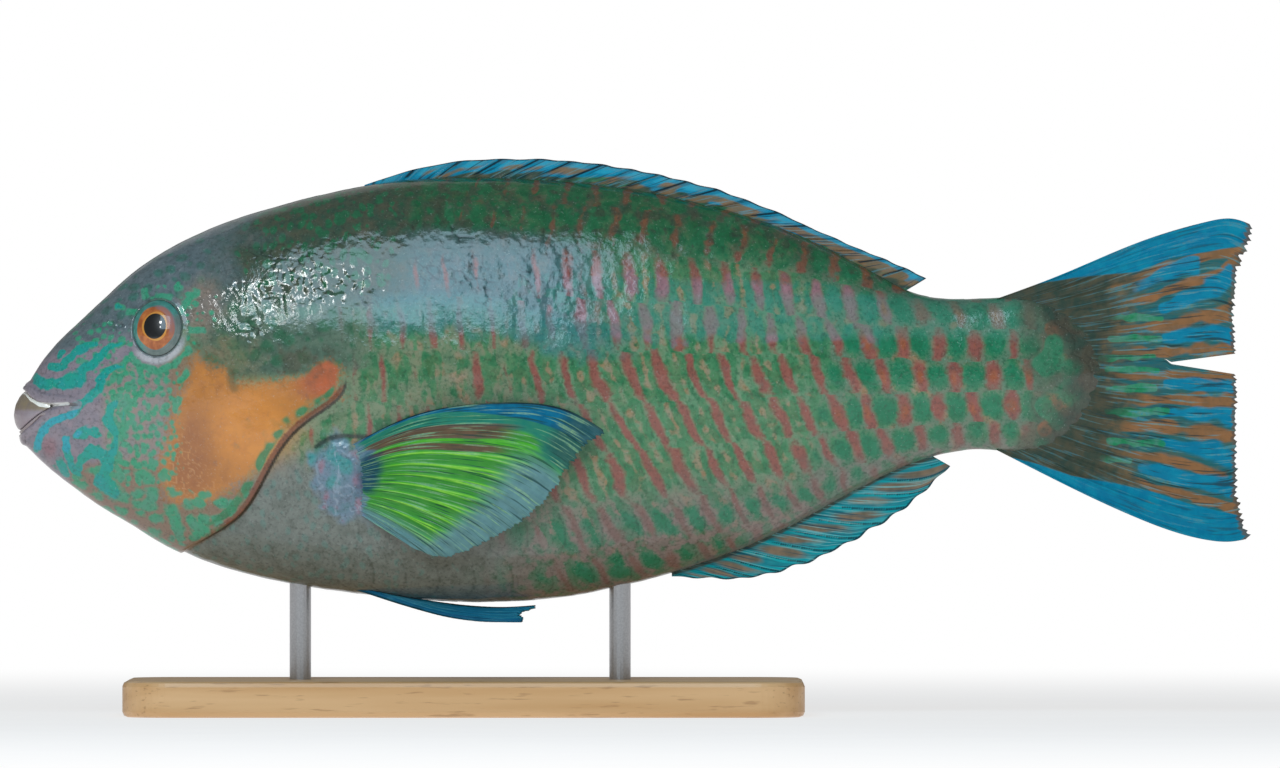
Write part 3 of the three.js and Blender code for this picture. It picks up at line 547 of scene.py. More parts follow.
def zoned(tree, pairs, tone):
    """The first pair of colours, which turns to the second over the back and to the third over the belly."""
    flank, over_back, over_belly = pairs if len(pairs) == 3 else pairs * 3
    colour = two_tone(tree, flank, tone, 0.3, 0.7)
    for field, pair in (("back", over_back), ("belly", over_belly)):
        zone = add_node(tree, "ShaderNodeAttribute", {"attribute_name": field}).outputs["Fac"]
        tones = two_tone(tree, pair, tone)
        colour = add_node(
            tree, "ShaderNodeMix", {"data_type": "RGBA"}, {0: zone, 6: colour, 7: tones}).outputs[2]
    return colour


# The trunk's ground colours: pairs of the flank, the back and the belly
GROUND_COLOURS = [("#48885f", "#7c9474"), ("#2f4f3a", "#4a4e3a"), ("#7d726a", "#907e76")]
# Colours laid over it: field, its pairs as above or one pair for all, the field's values where the colour
# starts and is full, the noise that breaks up its edge, how far it does, and the colour's strength
TRUNK_COLOURS = [
    ("front", [("#62785a", "#868c6e"), ("#2f5038", "#444c38"), ("#70766c", "#84827a")],
     (0.1, 0.9), "coarse", 0.5, 0.8),
    ("rear_ground", [("#487a62", "#747c68"), ("#34543f", "#4a5442"), ("#70766c", "#84827a")],
     (0.1, 0.9), "medium", 0.5, 0.8),
    ("tan", [("#a6704a", "#9a9078"), ("#6a4a30", "#5f5238"), ("#857260", "#8f8070")],
     (-0.1, 0.4), "fine", 0.8, 0.75),
    ("patch", [("#04683c", "#469060"), ("#105a36", "#2a7046"), ("#3a7856", "#64806c")],
     (-0.2, 0.4), "fine", 0.8, 0.85),
    ("deep_patch", [("#00704a", "#0e825c"), ("#045a32", "#1a6a42"), ("#0a7650", "#22805e")],
     (-0.2, 0.5), "fine", 0.7, 0.92),
    # painted reflection: blue-grey over the upper flank where the front light's broad reflection lies, dark
    # green where it reaches the back
    ("painted_reflection", [("#345868", "#446676"), ("#33504c", "#33504c"), ("#575a4c", "#575a4c")],
     (0.1, 0.9), "medium", 0.5, 0.8),
    ("bar", [("#9c544a", "#884842"), ("#744c34", "#604634"), ("#84625a", "#785f58")],
     (-0.35, 0.5), "fine", 0.7, 0.92),
    ("upper_patch", [("#248270", "#408c7c")], (-0.2, 0.5), "fine", 0.7, 0.55),
    ("upper_bar", [("#a07a84", "#8a6670")], (-0.3, 0.5), "fine", 0.7, 0.85),
    ("core", [("#a85c34", "#a05834"), ("#905630", "#834b2c"), ("#80604a", "#80604a")],
     (-0.1, 0.8), "medium", 0.9, 0.75),
    ("back_dark", [("#2f4032", "#3d402e")], (-0.1, 0.5), "fine", 0.7, 0.7),
]
# Colours of the head, the fin bases and the tail base, in the same way, with one pair each
SKIN_COLOURS = [
    ("teal_ground", ("#307478", "#42827f"), (0.1, 0.9), "medium", 0.7, 0.7),
    ("upper_row", ("#3f8f7c", "#5f9c8a"), (0.2, 0.9), "medium", 0.5, 0.35),
    ("keel", ("#857662", "#7a7464"), (0.1, 0.9), "medium", 0.3, 0.6),
    ("olive", ("#686f67", "#80867f"), (0.1, 0.9), "coarse", 0.5, 1),
    ("olive_spot", ("#62867c", "#5c8c84"), (0.0, 0.6), "fine", 0.5, 0.5),
    ("nape", ("#3f5a4c", "#5c7462"), (0.0, 1.0), "medium", 0.9, 0.95),
    ("nape_spot", ("#1f6040", "#2a6c4c"), (-0.1, 0.5), "fine", 0.6, 0.75),
    ("crown", ("#2e4a3a", "#4a4c3a"), (0.0, 1.0), "medium", 0.9, 0.95),
    ("crown_spot", ("#155c3a", "#1f6c46"), (-0.1, 0.4), "fine", 0.5, 0.9),
    ("face", ("#7f7a84", "#92848c"), (0.1, 0.9), "medium", 0.5, 1),
    ("brow", ("#56666a", "#68757a"), (0.1, 0.9), "coarse", 0.9, 1),
    ("brow_spot", ("#3f6058", "#2f7868"), (-0.1, 0.5), "fine", 0.6, 0.75),
    ("nape_warm", ("#6c7a58", "#857458"), (0.1, 0.9), "medium", 1.0, 0.75),
    ("temple", ("#867a70", "#8f7868"), (0.1, 0.9), "medium", 0.6, 0.75),
    ("jowl", ("#9a8478", "#8a8682"), (0.1, 0.9), "medium", 0.5, 0.9),
    ("warm", ("#8f765f", "#8a6f58"), (0.1, 0.9), "medium", 0.6, 0.85),
    ("cheek", ("#b4743e", "#c8823e"), (-1.8, 2.4), "fine", 7, 1),
    ("cheek_heart", ("#de9042", "#d28640"), (0.1, 0.9), "coarse", 0.5, 0.9),
    ("cheek_left", ("#a86c44", "#985e3e"), (0.1, 0.9), "medium", 0.9, 0.75),
    ("cheek_tip", ("#c4623c", "#a65c40"), (0.1, 0.9), "medium", 0.6, 0.9),
    ("orange_line", ("#d49a62", "#c89468"), (0.1, 0.9), "fine", 0.6, 0.5),
    ("smear", ("#5a5a3e", "#6a5c3e"), (0.1, 1.0), "fine", 0.5, 0.5),
    ("tip_shade", ("#4c4c3a", "#5c5040"), (0.5, 1.3), "fine", 0.6, 0.6),
    ("stem_ground", ("#4a5c4c", "#5c6854"), (0.1, 0.9), "medium", 0.6, 0.8),
    ("stem_warm", ("#965c40", "#7a6448"), (-0.1, 0.4), "fine", 0.6, 0.85),
    ("stem_patch", ("#1f7a54", "#3c8462"), (-0.1, 0.5), "fine", 0.6, 0.88),
    ("stem", ("#2a4038", "#46483c"), (0.1, 0.9), "medium", 0.9, 0.85),
    ("spot", ("#259c72", "#4a9a7c"), (-0.25, 0.4), "fine", 0.5, 0.92),
    ("mark", ("#0a9c86", "#129a96"), (-0.15, 0.3), "fine", 0.35, 0.96),
    ("cyan_mark", ("#2fa2b4", "#1f9fae"), (-0.15, 0.3), "fine", 0.35, 0.9),
    ("mauve_mark", ("#8f6a72", "#96747c"), (-0.1, 0.5), "medium", 0.4, 0.85),
    ("gill_green", ("#257a50", "#338a5e"), (-0.1, 0.5), "medium", 0.5, 0.9),
    ("gill_rim", ("#834a30", "#74402e"), (0.1, 0.8), "fine", 0.5, 0.85),
    ("orbit", ("#a8aab0", "#bcbcc0"), (0.1, 0.9), "fine", 0.4, 0.85),
    ("eye_shade", ("#3c4a4a", "#50605c"), (0.1, 0.9), "fine", 0.3, 0.7),
    # painted shade in the crease under the gill cover's rear edge
    ("crease_shade", ("#2c2b24", "#38332b"), (0.2, 0.9), "fine", 0.3, 0.85),
    ("flesh", ("#7688a0", "#5f8496"), (0.1, 0.9), "medium", 0.9, 0.85),
    ("flesh_teal", ("#2f8a8c", "#3a9a94"), (0.0, 0.7), "fine", 0.5, 0.75),
    ("flesh_spot", ("#ac7486", "#9a7886"), (0.0, 0.6), "fine", 0.5, 0.7),
    # painted highlights on the wrinkles of the side fin's pad
    ("pad_highlight", ("#9fb0c0", "#8c9cac"), (0.0, 0.9), "fine", 0.5, 0.6),
    # painted shadow of the side fin on its fleshy base
    ("pad_shadow", ("#173f5c", "#1f4f68"), (0.1, 0.9), "medium", 0.8, 0.9),
    # painted shadow line along the fold over the side fin's base
    ("fold_shadow", ("#26302e", "#34403c"), (0.0, 0.8), "fine", 0.4, 0.85),
    ("lip", ("#988a92", "#8c848c"), (0.1, 0.8), "fine", 0.3, 0.7),
    # painted shade in the groove at the mouth's corner
    ("mouth_shadow", ("#5c504e", "#544846"), (0.2, 0.9), "fine", 0.2, 0.7),
    ("tooth_line", ("#dcdad6", "#c9c6c2"), (0.1, 0.6), "fine", 0.3, 0.95),
]
# Tints that darken thin lines of the relief
LINE_TINTS = {"scale_edge": "#8c8f88", "crack": "#a8aeb0"}


def skin_material(wetness):
    """Wet skin under a clear film of slime: soft-edged, speckled patches of colour, one broad gloss, and
    painted reflection, shade and highlights.
    """
    material, tree, principled = new_material(
        "wet_scaled_skin", **{"Roughness": 0.6, "IOR": 1.38, "Specular IOR Level": 0.2,
                              "Coat Weight": wetness, "Coat Roughness": 0.08, "Coat IOR": 1.5})
    noises = {
        "coarse": noise_output(tree, 9, 3, seed=1.3),
        "medium": noise_output(tree, 3.2, 4, seed=2.1),
        "fine": noise_output(tree, 0.9, 3, seed=5.7),
    }
    medium, fine = noises["medium"], noises["fine"]
    colour = zoned(tree, GROUND_COLOURS, medium)
    for field, pairs, edge, breakup, spread, strength in TRUNK_COLOURS:
        tones = zoned(tree, pairs, medium)
        colour = lay_over(tree, colour, field, tones, edge, noises[breakup], spread, strength)
    for field, pair, edge, breakup, spread, strength in SKIN_COLOURS:
        tones = two_tone(tree, pair, medium)
        colour = lay_over(tree, colour, field, tones, edge, noises[breakup], spread, strength)
    for field, tint in LINE_TINTS.items():
        share = add_node(tree, "ShaderNodeAttribute", {"attribute_name": field}).outputs["Fac"]
        colour = add_node(
            tree, "ShaderNodeMix", {"data_type": "RGBA", "blend_type": "MULTIPLY", 7: linear(tint)},
            {0: share, 6: colour}).outputs[2]
    # small pale flecks in the scales, drawn 0.6 mm wide so that they show
    glitter = noise_output(tree, 0.6, 2, seed=12.4)
    fleck = add_node(
        tree, "ShaderNodeMapRange", {"From Min": 0.64, "From Max": 0.74, "To Max": 0.22},
        {"Value": glitter}).outputs[0]
    colour = add_node(
        tree, "ShaderNodeMix", {"data_type": "RGBA", 7: linear("#b8c4bc")}, {0: fleck, 6: colour}).outputs[2]
    specked = add_node(tree, "ShaderNodeAttribute", {"attribute_name": "specked"}).outputs["Fac"]
    speckle = add_node(
        tree, "ShaderNodeMapRange", {"From Min": 0.5, "From Max": 0.72},
        {"Value": fine, "To Max": specked}).outputs[0]
    colour = add_node(
        tree, "ShaderNodeMix", {"data_type": "RGBA", "blend_type": "MULTIPLY", 7: linear("#8c8a80")},
        {0: speckle, 6: colour}).outputs[2]
    tree.links.new(colour, principled.inputs["Base Color"])
    bump = add_node(
        tree, "ShaderNodeBump", {"Strength": 0.25, "Distance": 0.2 * MM}, {"Height": fine}).outputs[0]
    wrinkled = add_node(tree, "ShaderNodeAttribute", {"attribute_name": "wrinkle"}).outputs["Fac"]
    place = add_node(tree, "ShaderNodeNewGeometry").outputs["Position"]
    folds = add_node(
        tree, "ShaderNodeTexNoise",
        {"noise_type": "RIDGED_MULTIFRACTAL", "Scale": 1 / (2.4 * MM), "Detail": 2.0, "Roughness": 0.5,
         "Distortion": 0.4},
        {"Vector": place}).outputs["Fac"]
    bump = add_node(
        tree, "ShaderNodeBump", {"Distance": 0.3 * MM},
        {"Strength": wrinkled, "Height": folds, "Normal": bump}).outputs[0]
    tree.links.new(bump, principled.inputs["Normal"])
    tree.links.new(bump, principled.inputs["Coat Normal"])
    return material


# Skin

def skin_rings(step):
    """Ring positions along the body: even round the blunt snout, close over the face and wider behind."""
    cap = SNOUT["start"] - (SNOUT["start"] - SNOUT["tip"]) * np.cos(np.linspace(0.04, np.pi / 2, 32))
    face = np.arange(SNOUT["start"] + 0.3, 20, 0.3)
    cheek = np.arange(face[-1] + 0.42, 70, 0.42)
    trunk = np.arange(cheek[-1] + step, BODY_END, step)
    return np.concatenate([cap, face, cheek, trunk, [BODY_END]])


def half_section(count):
    """Angles from the belly's midline to the back's that lie evenly round a deep, narrow section."""
    half_depth, half_width = 58, 25
    fine = np.linspace(-np.pi / 2, np.pi / 2, 2001)
    steps = np.hypot(half_depth * np.diff(np.sin(fine)), half_width * np.diff(np.cos(fine)))
    length = np.concatenate([[0], np.cumsum(steps)])
    return np.interp(np.linspace(0, length[-1], count + 1), length, fine)


def scale_relief(u, v):
    """Height from 0 to 1 of overlapping scales, and how near the rear rim of the uppermost one is."""
    height, rim = np.zeros(u.shape), np.zeros(u.shape)
    for row_step in (-1, 0, 1, 2):
        row = np.floor(v) + row_step
        shift = (row % 2) / 2
        for step in (-1, 0, 1, 2):
            rear = np.floor(u - shift - SCALE["rear"]) + step + shift + SCALE["rear"]
            along = (u - rear + SCALE["along"]) / SCALE["along"]
            across = (v - row) / SCALE["across"]
            away = np.hypot(along, across)
            here = (along + 1) / 2 * smooth(1, SCALE["rim"], away)
            rim = np.where(here > height, away, rim)
            height = np.maximum(height, here)
    return height, rim


def cell_random(column, row, seed):
    """A fixed random number from 0 to 1 for each scale."""
    table = np.random.default_rng(seed).random((64, 64))
    return table[column.astype(int) % 64, row.astype(int) % 64]


def dots(x, y, pitch, seed):
    """Distance in pitches to the nearest of many points about pitch mm apart, and its random number."""
    near, _, luck = cells(x, y, pitch, seed)
    return near, luck


def cells(x, y, pitch, seed):
    """Distances in pitches to the two nearest of many points, and the nearest one's random number."""
    table = np.random.default_rng(seed).random((64, 64, 3))
    x, y = x / pitch, y / pitch
    column, row = np.floor(x), np.floor(y)
    near, second, luck = np.full(x.shape, 9.0), np.full(x.shape, 9.0), np.zeros(x.shape)
    for i, j in np.ndindex(3, 3):
        a, b = column + i - 1, row + j - 1
        dx, dy, value = np.moveaxis(table[a.astype(int) % 64, b.astype(int) % 64], -1, 0)
        away = np.hypot(x - a - 0.06 - 0.88 * dx, y - b - 0.06 - 0.88 * dy)
        second = np.minimum(second, np.maximum(away, near))
        luck = np.where(away < near, value, luck)
        near = np.minimum(near, away)
    return near, second, luck


# The stretches in mm over which the pattern of the trunk's middle turns to the front's and to the rear's
FRONT_PATTERN = (165, 128)
REAR_PATTERN = (208, 238)
# How far the dark back and the pale belly reach from their midlines round the section, along the body
BACK_REACH = [[60, 27], [100, 28], [140, 26], [190, 21], [225, 11], [250, 5], [285, 3]]
BELLY_REACH = [[60, 38], [110, 38], [150, 34], [190, 26], [225, 14], [250, 6], [285, 4]]


def body_markings(s, z, girth, low, high, u, v, ahead):
    """Fields of the trunk's markings: bars, patches between them, and the back's and belly's mottling."""
    own = np.stack([s, girth, s * 0], axis=-1)
    rough, grain = blotch(own, 2.6, 21), blotch(own, 1.2, 22)
    # each scale's place in its row: f along it and t across it, both from the scale's middle
    period_at = np.linspace(60, BODY_END, 249)
    period = np.interp(s, period_at, 1 / np.gradient(spline(SCALES_ALONG)(period_at), 1.0))
    v = v + 0.07 * wobble(own, 6, 13)
    row = np.round(v)
    t = v - row
    shift = (row % 2) / 2
    lean = mix(mix(0.03, 0.27, smooth(120, 165, s)), 0.1, smooth(235, 262, s))
    over_middle = smooth(0, 1, row) * (1 - smooth(200, 235, s))
    lean = np.where(row >= 3, -0.15, mix(lean, 0.1, over_middle))
    phase = u - shift + lean * t * straight(ROW_SPACING, s) / period
    phase += 0.1 * wobble(own, 6, 14) + 0.025 * wobble(own, 2.2, 15)
    column = np.round(phase)
    f = phase - column
    gap = np.abs(f) - 0.5
    luck, other = cell_random(column, row, 11), cell_random(column, row, 12)
    # zones of the trunk
    rear, front = smooth(*REAR_PATTERN, s), smooth(*FRONT_PATTERN, s)
    middle = (1 - rear) * (1 - 0.5 * front)
    on_back = smooth(2, 3, row)
    back_reach, belly_reach = straight(BACK_REACH, s), straight(BELLY_REACH, s)
    back = smooth(back_reach + 9, back_reach - 6, high + 2 * wobble(own, 7, 17))
    belly = smooth(belly_reach + 10, belly_reach - 6, low + 2 * wobble(own, 7, 18))
    top_rows = back * smooth(132, 104, s)
    upper = smooth(7, 19, z + 3 * rough) * smooth(38, 24, z + 3 * rough)
    upper *= smooth(120, 150, s) * smooth(262, 235, s) * (1 - back)
    off_trunk = 1.6 * smooth(2, -3, -ahead - 2) + 1.4 * smooth(287, 297, s)
    # the bar in the middle of each scale
    wide = mix(mix(0.18, 0.13, front), 0.19, rear) * mix(0.8, 1.25, luck) * mix(1, 0.75, on_back)
    tall = mix(mix(mix(0.62, 0.58, over_middle), 0.6, front), 0.6, rear) * mix(0.8, 1.12, other)
    bar = 1 - (np.abs(f / wide)**1.9 + np.abs(t / tall)**2.2)**0.5
    bar += mix(0.2, 0.6, on_back) * rough + mix(0.14, 0.4, on_back) * grain - 0.15 * on_back
    bar -= 0.9 * front * (luck > 0.75) + 0.1 * front + 0.35 * front * (row >= 2)
    core = (1 - np.hypot((f + 0.02) / 0.14, (t + 0.05) / 0.3)) * smooth(218, 244, s) - 0.6 * (other < 0.4)
    core_top = (1 - np.hypot(f / 0.12, (t - 0.25) / 0.3)) * back * smooth(140, 165, s) - 0.3
    # the patch between two bars, and scattered dots
    blob = 1 - np.hypot(
        gap / (mix(0.37, 0.34, rear) * mix(0.88, 1.12, other)), t / mix(0.56, 0.5, rear))
    band = 1 - np.hypot((np.abs(f) - 0.3) / 0.2, t / 0.9)
    patches = mix(blob, band - 0.15, middle * (1 - smooth(30, 18, low)))
    patches += mix(0.2, 0.7, middle) * rough + 0.25 * grain
    patches += front * (0.7 * blotch(own * [1.8, 0.6, 1], 2.2, 27) - 0.1)
    patches = mix(patches, 1.1 * blotch(own, 3.4, 20) + 0.5 * blob, 0.8 * on_back)
    near, chance = dots(s, girth, 3.6, 19)
    loose = 1 - near / 0.48 - 0.5 * (chance > 0.75) + 0.25 * rough
    dot = 1 - np.hypot(gap / 0.3, t / 0.4) - 0.5 * (luck > 0.8) + 0.2 * rough
    deep = np.maximum.reduce([
        blob - 0.02 - 1.3 * (1 - rear) * (1 - back),
        dot - 1.2 * (1 - belly),
        loose - 0.2 - 1.2 * (1 - back),
    ])
    tan = (1 - np.hypot(gap / 0.24, t / 0.85)) * middle + 0.8 * blotch(own, 2.8, 24) - 0.25
    foot = mix(22, 14, smooth(125, 165, s))
    return {
        "back": back, "belly": belly, "rear_ground": rear,
        "front": front * (1 - 0.5 * belly),
        "bar": bar - 0.2 * belly - 0.9 * top_rows - off_trunk - 0.2 * smooth(20, 8, -ahead),
        "patch": np.maximum(
            patches - 0.9 * top_rows, loose * np.maximum(top_rows, 0.6 * belly) - 0.1) - off_trunk,
        "deep_patch": deep - off_trunk - 0.8 * smooth(9, 4, low),
        "upper_bar": np.minimum(bar, 2 * upper - 1),
        "upper_patch": np.minimum(patches, 2 * upper - 1) + 0.3 * rough,
        "back_dark": blotch(own, 2.6, 23) - 0.25 - 1.2 * (1 - back) - off_trunk,
        "upper_row": smooth(10, 16, z) * smooth(29, 22, z) * smooth(150, 190, s) * smooth(300, 285, s),
        "tan": tan - 0.3 * back - off_trunk,
        "core": np.maximum(core - 1.2 * belly, core_top) - off_trunk,
        # painted reflection: the stretch of the upper flank where the front light's broad reflection lies
        "painted_reflection": smooth(56, 84, s + 0.4 * (z - 30)) * smooth(188, 140, s) * smooth(-4, 4, z - foot)
        * smooth(18, 27, high),
        "teal_ground": smooth(94, 104, s) * smooth(190, 150, s)
        * smooth(foot - 12, foot - 2, z + 2 * rough) * smooth(foot + 7, foot, z),
        "keel": smooth(6, 1, low) * smooth(90, 130, s) * smooth(262, 240, s),
    }


def face_markings(s, z, y, own):
    """Fields of the head's colours: forehead, cheek, orange patch, brush marks, gill rim and eye ring."""
    slope = gill_edge(z + 0.5) - gill_edge(z - 0.5)
    ahead = (gill_edge(z) - s) / np.hypot(1, slope)
    on_head = smooth(-1.5, 1.5, ahead)
    girth = own[..., 1]
    mottle, grain = blotch(own * [1.3, 1, 1], 1.8, 25), blotch(own, 1.1, 26)
    warp_s = s + 0.7 * wobble(own, 3.0, 31) + 0.35 * wobble(own, 1.2, 32)
    warp_z = z + 0.7 * wobble(own, 3.0, 33) + 0.35 * wobble(own, 1.2, 34)
    strokes = strokes_field(warp_s, warp_z, TEAL_STROKES) + 0.05 + 0.2 * grain
    marks = np.where(on_head > 0.4, strokes, -1)
    # spots of the cheek, chin, eye's surroundings and snout
    near, chance = dots(warp_s * 1.5, girth + 0.4 * wobble(own, 2, 35), 3.7, 36)
    wide_near, wide_chance = dots(warp_s, girth, 4.6, 37)
    small_near, small_chance = dots(warp_s, girth, 2.4, 38)
    cheek_near, _ = dots(s * 1.15 + 0.3 * mottle, girth + 0.3 * grain, 2.25, 39)
    jowl = smooth(22, 28, s) * smooth(54, 43, s) * smooth(10, 2, z) * smooth(-32, -26, z)
    chin = smooth(12, 18, s) * smooth(-19, -24, z) * smooth(50, 42, s)
    rim_low = smooth(30, 40, s) * smooth(-26, -31, z) * on_head
    snout_bits = smooth(13, 18, s) * smooth(38, 32, s) * smooth(-2, 3, z) * smooth(22, 16, z)
    around_eye = np.exp(-(((s - 47) / 13)**2 + ((z - 20) / 11)**2)**2)
    spot = np.maximum.reduce([
        0.8 - cheek_near / 0.55 + 0.35 * mottle + 0.2 * smooth(42, 30, s) - 1.8 * (1 - jowl),
        0.86 - wide_near / 0.52 - 1.5 * (1 - np.maximum(rim_low, chin)) - 0.3 * (wide_chance > 0.8)
        + 0.3 * grain,
        1 - small_near / 0.5 - 1.5 * (1 - around_eye) - 0.6 * (small_chance > 0.4) + 0.2 * grain,
        1 - small_near / 0.42 - 1.5 * (1 - snout_bits) - 0.6 * (small_chance < 0.5) + 0.2 * grain,
        strokes - 1.2 * smooth(24, 17, s) - 0.05,
    ])
    cyan = smooth(22, 16, s) * smooth(0, -6, z) * smooth(-21, -17, z)
    # the orange patch and the gill cover's rim
    cheek = inside_distance(s + 1.8 * blotch(own, 4.5, 27), z + 1.4 * blotch(own, 4.5, 28), CHEEK_PATCH)
    net_near, net_far, _ = cells(warp_s, girth, 1.7, 40)
    net = smooth(0.16, 0.02, net_far - net_near)
    rim_here = smooth(-44, -36, z) * smooth(3, -3, z)
    dashes = np.clip(0.6 + 1.5 * blotch(own, 2.8, 45), 0.02, None)
    # the ring round the eye
    centre, along, up, _ = flank_axes(EYE["s"], EYE["z"], 1)
    offset = np.stack([s - centre[0], y - centre[1], z - centre[2]], axis=-1)
    ring_s, ring_z = offset @ along / EYE["along"], offset @ up / EYE["up"]
    ring = np.hypot(ring_s, ring_z)
    below = smooth(0.1, 0.95, -ring_z * 0.95 + ring_s * 0.2)
    # the dark top of the head and the olive ground behind the gills
    nape = smooth(46, 58, s) * smooth(-1, 4, z - 0.05 * (s - 50)) * smooth(112, 84, s)
    crown = smooth(19, 30, z) * smooth(26, 80, s + 0.3 * (z - 30) + 3 * mottle) * smooth(120, 100, s)
    low_ground = smooth(-16, -32, z + 0.3 * (s - 92))
    return {
        "face": smooth(48, 36, s) * smooth(24, 14, z) * on_head,
        "brow": smooth(9, 17, z - 0.2 * (s - 30))
        * smooth(74, 36, s - (z - 20) * 0.35 + 5 * blotch(own, 6, 29)),
        "brow_spot": 1 - wide_near / 0.4 - 0.4 * (wide_chance > 0.6) - 1.4 * (1 - smooth(12, 18, z))
        - smooth(50, 62, s),
        "temple": np.exp(-((s - 53) / 6)**2 - ((z - 22) / 8)**2) * 1.1,
        "nape": nape,
        "nape_warm": np.exp(-((s - 61) / 9)**2 - ((z - 8) / 7)**2) * 0.85,
        "nape_spot": 1 - wide_near / 0.5 - 1.4 * (1 - nape) - 0.5 * (wide_chance > 0.6),
        "crown": crown,
        "crown_spot": 1 - near / 0.5 - 1.4 * (1 - crown) - 0.5 * (chance > 0.55),
        "olive": low_ground * smooth(-1, 2, -ahead) * smooth(165, 115, s),
        "olive_spot": 1 - near / 0.5 - 1.4 * (1 - low_ground * smooth(150, 110, s)) - 0.5 * (chance > 0.35)
        - 1.5 * smooth(0, 3, ahead),
        "jowl": jowl,
        "warm": smooth(40, 47, s) * smooth(58, 50, s) * smooth(12, 5, z) * on_head + rim_low + 0.8 * chin,
        "cheek": cheek,
        "cheek_heart": np.exp(-((s - 67) / 12)**2 - ((z + 12) / 11)**2) * 1.25,
        "cheek_left": np.exp(-((s - 49) / 8)**2 - ((z + 20) / 15)**2) * smooth(-1, 5, cheek),
        "cheek_tip": smooth(72, 88, s) * smooth(-9, 1, z) * smooth(-0.5, 0.5, ahead) * smooth(-1, 1.5, cheek),
        "orange_line": net * smooth(0, 3, cheek) * smooth(68, 52, s + 0.6 * (z + 30)),
        "smear": (1 - line_distance(s, z, [[61, 4], [61.4, 0.4], [62, -1]]) / 2.2) * 1.2,
        "tip_shade": np.exp(-((s - 80) / 11)**2 - ((z - 7) / 5)**2) * 1.3 + 0.5 * mottle,
        "spot": np.where(on_head > 0.4, spot, -1),
        "mark": marks - 1.2 * (1 - smooth(34, 26, s)),
        "cyan_mark": np.where(on_head > 0.4, strokes - 0.1, -1) - 1.5 * (1 - cyan),
        "mauve_mark": 0.8 - np.hypot((s - 10) / 3.4, (z + 17.5) / 4.2),
        "gill_green": (1 - np.abs(ahead - 3.2) / 1.5) * dashes - 1.5 * (1 - rim_here),
        "gill_rim": smooth(2.2, 0.9, ahead) * smooth(-0.3, 0.2, ahead) * rim_here,
        "orbit": smooth(0.9, 0.98, ring) * smooth(1.34, 1.04, ring) * below,
        "eye_shade": smooth(1.03, 0.96, ring),
        "tooth_line": 1 - line_distance(s, z, TOOTH_LINE) / 0.7,
        "ring": ring, "ahead": ahead,
    }


def fin_base_markings(s, z, own, ahead):
    """Fields of the fleshy pad at the side fin's base and of the fold over it, with painted shadow under the
    fin and along the fold, and painted highlights on the pad's wrinkles.
    """
    behind = smooth(-1, 1, -ahead)
    pad = np.hypot((s - 93 + 0.28 * (z + 27)) / 9, (z + 26) / 12.5)
    pad += 0.22 * blotch(own, 4, 66) + 0.1 * blotch(own, 1.5, 67)
    on_pad = smooth(1, 0.7, pad) * behind
    fold = line_distance(s, z, [[85, -17], [88.5, -14.8], [93, -14], [99, -14.6]])
    return {
        "flesh": smooth(1.3, 0.55, pad) * behind,
        "flesh_spot": blotch(own, 3.2, 62) * on_pad - 0.15,
        "flesh_teal": blotch(own, 3.6, 63) * on_pad - 0.05,
        # painted highlights on the pad's wrinkles
        "pad_highlight": (1 - 6 * np.abs(blotch(own, 3, 69))) * smooth(1.1, 0.7, pad) * behind,
        # painted shadow line along the fold over the side fin's base
        "fold_shadow": 1 - fold / (1.2 + 0.6 * blotch(own, 3, 70)),
        # painted shadow under the side fin's root
        "pad_shadow": np.exp(-((s - 100) / 5)**2 - ((z + 27) / 6)**2) * behind,
        "fin_base": smooth(1.2, 0.6, pad) * behind,
    }


def tail_base_markings(s, own, tail):
    """Fields of the tail base, where dark skin ends the pattern, tail mm from the skin's rear edge."""
    near_tail = smooth(277, 288, s + 3 * blotch(own, 6, 58)) * smooth(9, 3, tail)
    return {
        "stem": smooth(-16, -4, tail + 5 * blotch(own, 5, 60)),
        "stem_ground": near_tail,
        "stem_patch": 1.4 * blotch(own, 5.5, 61) - 3 * (1 - near_tail),
        "stem_warm": 1.4 * blotch(own, 5, 59) + 0.1 - 3 * (1 - near_tail),
    }


def line_markings(s, z, girth, own, fields, rim, tail):
    """Fields of wrinkles and cracks, of painted shade in the gill cover's crease and the mouth's groove, of
    the lips, and of the scales' rear edges.
    """
    foil = np.exp(-((s - 68) / 8)**2 - ((z - 30) / 7)**2) + np.exp(-((s - 88) / 14)**2 - ((z - 27) / 6)**2)
    foil += np.exp(-((s - 68) / 4)**2 - ((z - 15) / 5)**2)
    calm = smooth(-0.45, 0.25, blotch(own, 6, 72))
    near, far, _ = cells(s + 0.5 * wobble(own, 2, 64), girth, 3.3, 65)
    shiny = np.clip(1.2 * fields["painted_reflection"] + 0.8 * foil, 0, 1) + 0.3 * fields["front"] * smooth(-8, 0, z)
    outlined = mix(0.25, 1, np.maximum(fields["belly"], smooth(-20, -8, tail)))
    return {
        "wrinkle": np.clip(foil * calm + fields["fin_base"], 0, 1),
        "crack": smooth(0.14, 0.03, far - near) * shiny * smooth(-0.3, 0.5, blotch(own, 6, 68)),
        "specked": 0.5 - 0.42 * smooth(-1, 2, fields["cheek"]),
        # painted shade in the crease under the gill cover's rear edge
        "crease_shade": smooth(0.8, 0.1, np.abs(fields["ahead"] + 0.1)) * smooth(-50, -40, z) * smooth(5, -2, z),
        # painted shade in the groove at the mouth's corner
        "mouth_shadow": smooth(0.8, 0.2, line_distance(s, z, MOUTH_LINE)) * smooth(19.5, 17, s),
        "lip": np.maximum(*(smooth(1.3, 0.4, line_distance(s, z, lip)) for lip in (UPPER_LIP, LOWER_LIP))),
        "scale_edge": 0.5 * smooth(0.86, 0.97, rim) * outlined * smooth(70, 100, s),
    }


